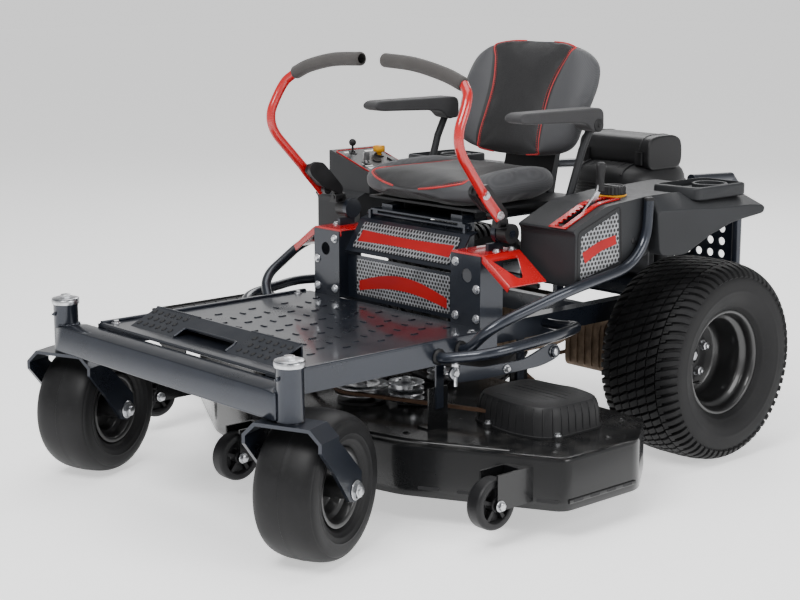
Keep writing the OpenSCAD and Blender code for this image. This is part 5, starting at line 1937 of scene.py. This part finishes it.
def drive_cases():
    """A cast drive on each side: a rounded case with ribs, an axle horn, a fan and its cap."""
    case = slab(bend([(-120, 195), (-60, 190), (60, 190), (108, 200), (108, 300), (70, 344),
                      (-90, 344), (-120, 320)], 22, 5, True), 97, 233, *SIDE_VIEW)
    parts = [case]
    for x in (112, 138, 164, 190, 216):
        parts.append(slab(bend([(-124, 200), (112, 200), (112, 296), (66, 345), (-92, 345),
                                (-124, 316)], 20, 4, True), x, x + 5, *SIDE_VIEW))
    horn = lathe([(226, 0), (226, 62), (244, 60), (262, 46), (395, 40.5), (397, 44),
                  (404, 44), (404, 17.6), (380, 17.6), (380, 0)], (0, 0, 260), X_AXIS, 48)
    fan = lathe([(0, 0), (0, 38), (3, 39), (9, 39), (11, 34), (11, 0)], (165, -60, 345), Z_AXIS,
                40)
    bolts = [bolt((234, y, z), X_AXIS, 13, 7) for y, z in ((-100, 215), (-100, 320), (90, 215),
                                                             (84, 300), (-10, 334), (-10, 204))]
    return join(*parts, horn, fan, *bolts)


def drive_saddles():
    """The blocks that hang each drive from its rail."""
    return block((200, -30, 343.5), (283, 30, 353))


piece("drive_cases", both_sides(join(drive_cases(), drive_saddles())), "frame", hydro_cast,
      ("hydro_units",), bevel=1.5)


# ------------------------------------------------------------ front beam

def beam_form():
    """The box beam between the caster tubes: its front outline given depth."""
    outline = bend([(-438, 334), (438, 334), (438, 394), (400, 398), (-400, 398), (-438, 394)],
                   5, 3, True)
    return slab(outline, -BEAM_Y - 35, -BEAM_Y + 35, *FRONT_VIEW)


def pivot_tubes():
    """The caster pivot tubes, open for their spindles, with a collar bead top and bottom and a
    grease nipple in front."""
    section = [(332, 19.4), (332, 30), (334, 31), (338, 30), (443, 30), (447, 31.2), (450, 30.6),
               (450, 19.4)]
    nipple = [(0, 0), (0, 4.5), (4, 4.5), (5, 3.4), (7, 2.2), (8.5, 2.6), (9.5, 0)]
    tubes = [lathe(section, (sign * CASTER_X, BEAM_Y, 0), Z_AXIS, 56, True) for sign in (1, -1)]
    return join(*tubes, *[lathe(nipple, (sign * CASTER_X, BEAM_Y - 30, 425), (0, -1, 0), 12)
                          for sign in (1, -1)])


def weld_beads():
    """Rippled weld beads where the beam meets each tube: small rings whose radius swells and
    narrows along the bead."""
    parts = []
    for sign in (1, -1):
        for z in (397.5, 335.5):
            a = np.linspace(-1.15, 1.15, 60)
            path = np.column_stack([sign * (CASTER_X - 30.5 * np.cos(a)), BEAM_Y + 30.5 * np.sin(a),
                                    np.full(60, z)])
            parts.append(sweep(path, circle(1.0, 8), Z_AXIS, 3.2 + 0.6 * np.sin(a * 46)))
    return join(*parts)


beam = piece("beam_box", beam_form(), "frame", frame_paint, ("front_beam",),
             bevel=3)
cut(beam, *[lathe([(0, 0), (0, 29.8), (90, 29.8), (90, 0)], (sign * CASTER_X, BEAM_Y, 325), Z_AXIS,
                  48) for sign in (1, -1)])
piece("pivot_tubes", pivot_tubes(), "frame", frame_paint)
piece("weld_beads", weld_beads(), "frame", frame_paint)

# ------------------------------------------------------- camera, light, floor

def add_camera():
    """The camera stands off the front left corner, a little above the seat's height."""
    stand = (3070.3, -3368.3, 1246.2)
    yaw, pitch, roll = math.radians(48.12), math.radians(-11.25), math.radians(-0.06)
    focal_px, wide_px = 1658.2, 800
    sensor = 36.0
    data = bpy.data.cameras.new("camera")
    data.sensor_width = sensor
    data.lens = focal_px / wide_px * sensor
    data.shift_x = -4.9 / wide_px
    data.shift_y = -0.2 / wide_px
    data.clip_start, data.clip_end = 0.05, 60
    camera = bpy.data.objects.new("camera", data)
    bpy.context.collection.objects.link(camera)
    turn = (Matrix.Rotation(yaw, 4, "Z") @ Matrix.Rotation(math.pi / 2 + pitch, 4, "X")
            @ Matrix.Rotation(roll, 4, "Z"))
    camera.matrix_world = Matrix.Translation(row(stand)) @ turn
    bpy.context.scene.camera = camera


def add_light(name, place, aim, size, power):
    """A soft square light at a place, in metres from the object's middle, facing its aim."""
    data = bpy.data.lights.new(name, "AREA")
    data.shape = "RECTANGLE"
    data.size, data.size_y = size
    data.energy = power
    lamp = bpy.data.objects.new(name, data)
    bpy.context.collection.objects.link(lamp)
    lamp.location = Vector(place)
    lamp.rotation_euler = (Vector(aim) - lamp.location).to_track_quat("-Z", "Y").to_euler()


def add_studio():
    """A pale floor, a white surround and four soft lights."""
    world = bpy.data.worlds.new("studio")
    world.use_nodes = True
    tree = world.node_tree
    where = tree.nodes.new("ShaderNodeTexCoord")
    split = tree.nodes.new("ShaderNodeSeparateXYZ")
    fade = tree.nodes.new("ShaderNodeValToRGB")
    for stop, place, shade in zip(fade.color_ramp.elements, (0.0, 0.5), (1.0, 0.30)):
        stop.position, stop.color = place, (shade,) * 3 + (1,)
    tree.links.new(where.outputs["Generated"], split.inputs[0])
    tree.links.new(split.outputs["Z"], fade.inputs["Fac"])
    tree.links.new(fade.outputs["Color"], tree.nodes["Background"].inputs["Color"])
    tree.nodes["Background"].inputs["Strength"].default_value = 1.1
    bpy.context.scene.world = world
    pale = Finish("floor_paint")
    speck = pale.noise(30.0, 3.0)
    shade = pale.mix(speck, (0.92, 0.92, 0.92, 1), (0.95, 0.95, 0.95, 1))
    mesh = bpy.data.meshes.new("floor")
    half = 30.0
    mesh.from_pydata([(-half, -half, 0), (half, -half, 0), (half, half, 0), (-half, half, 0)],
                     [], [(0, 1, 2, 3)])
    mesh.materials.append(pale.surface(shade, 0.8, Emission_Color=(1, 1, 1, 1),
                                       Emission_Strength=0.72))
    floor = bpy.data.objects.new("floor", mesh)
    bpy.context.collection.objects.link(floor)
    add_light("key", (1.2, -3.4, 4.2), (0.1, 0.0, 0.4), (2.4, 1.8), 210)
    add_light("side", (4.4, 0.6, 2.3), (0.1, 0.1, 0.5), (2.2, 1.8), 90)
    add_light("back", (-2.2, 3.6, 3.6), (0.1, 0.1, 0.5), (3.0, 2.0), 90)
    add_light("top", (0.1, 0.0, 4.6), (0.1, 0.0, 0.4), (3.4, 3.4), 110)


add_camera()
add_studio()
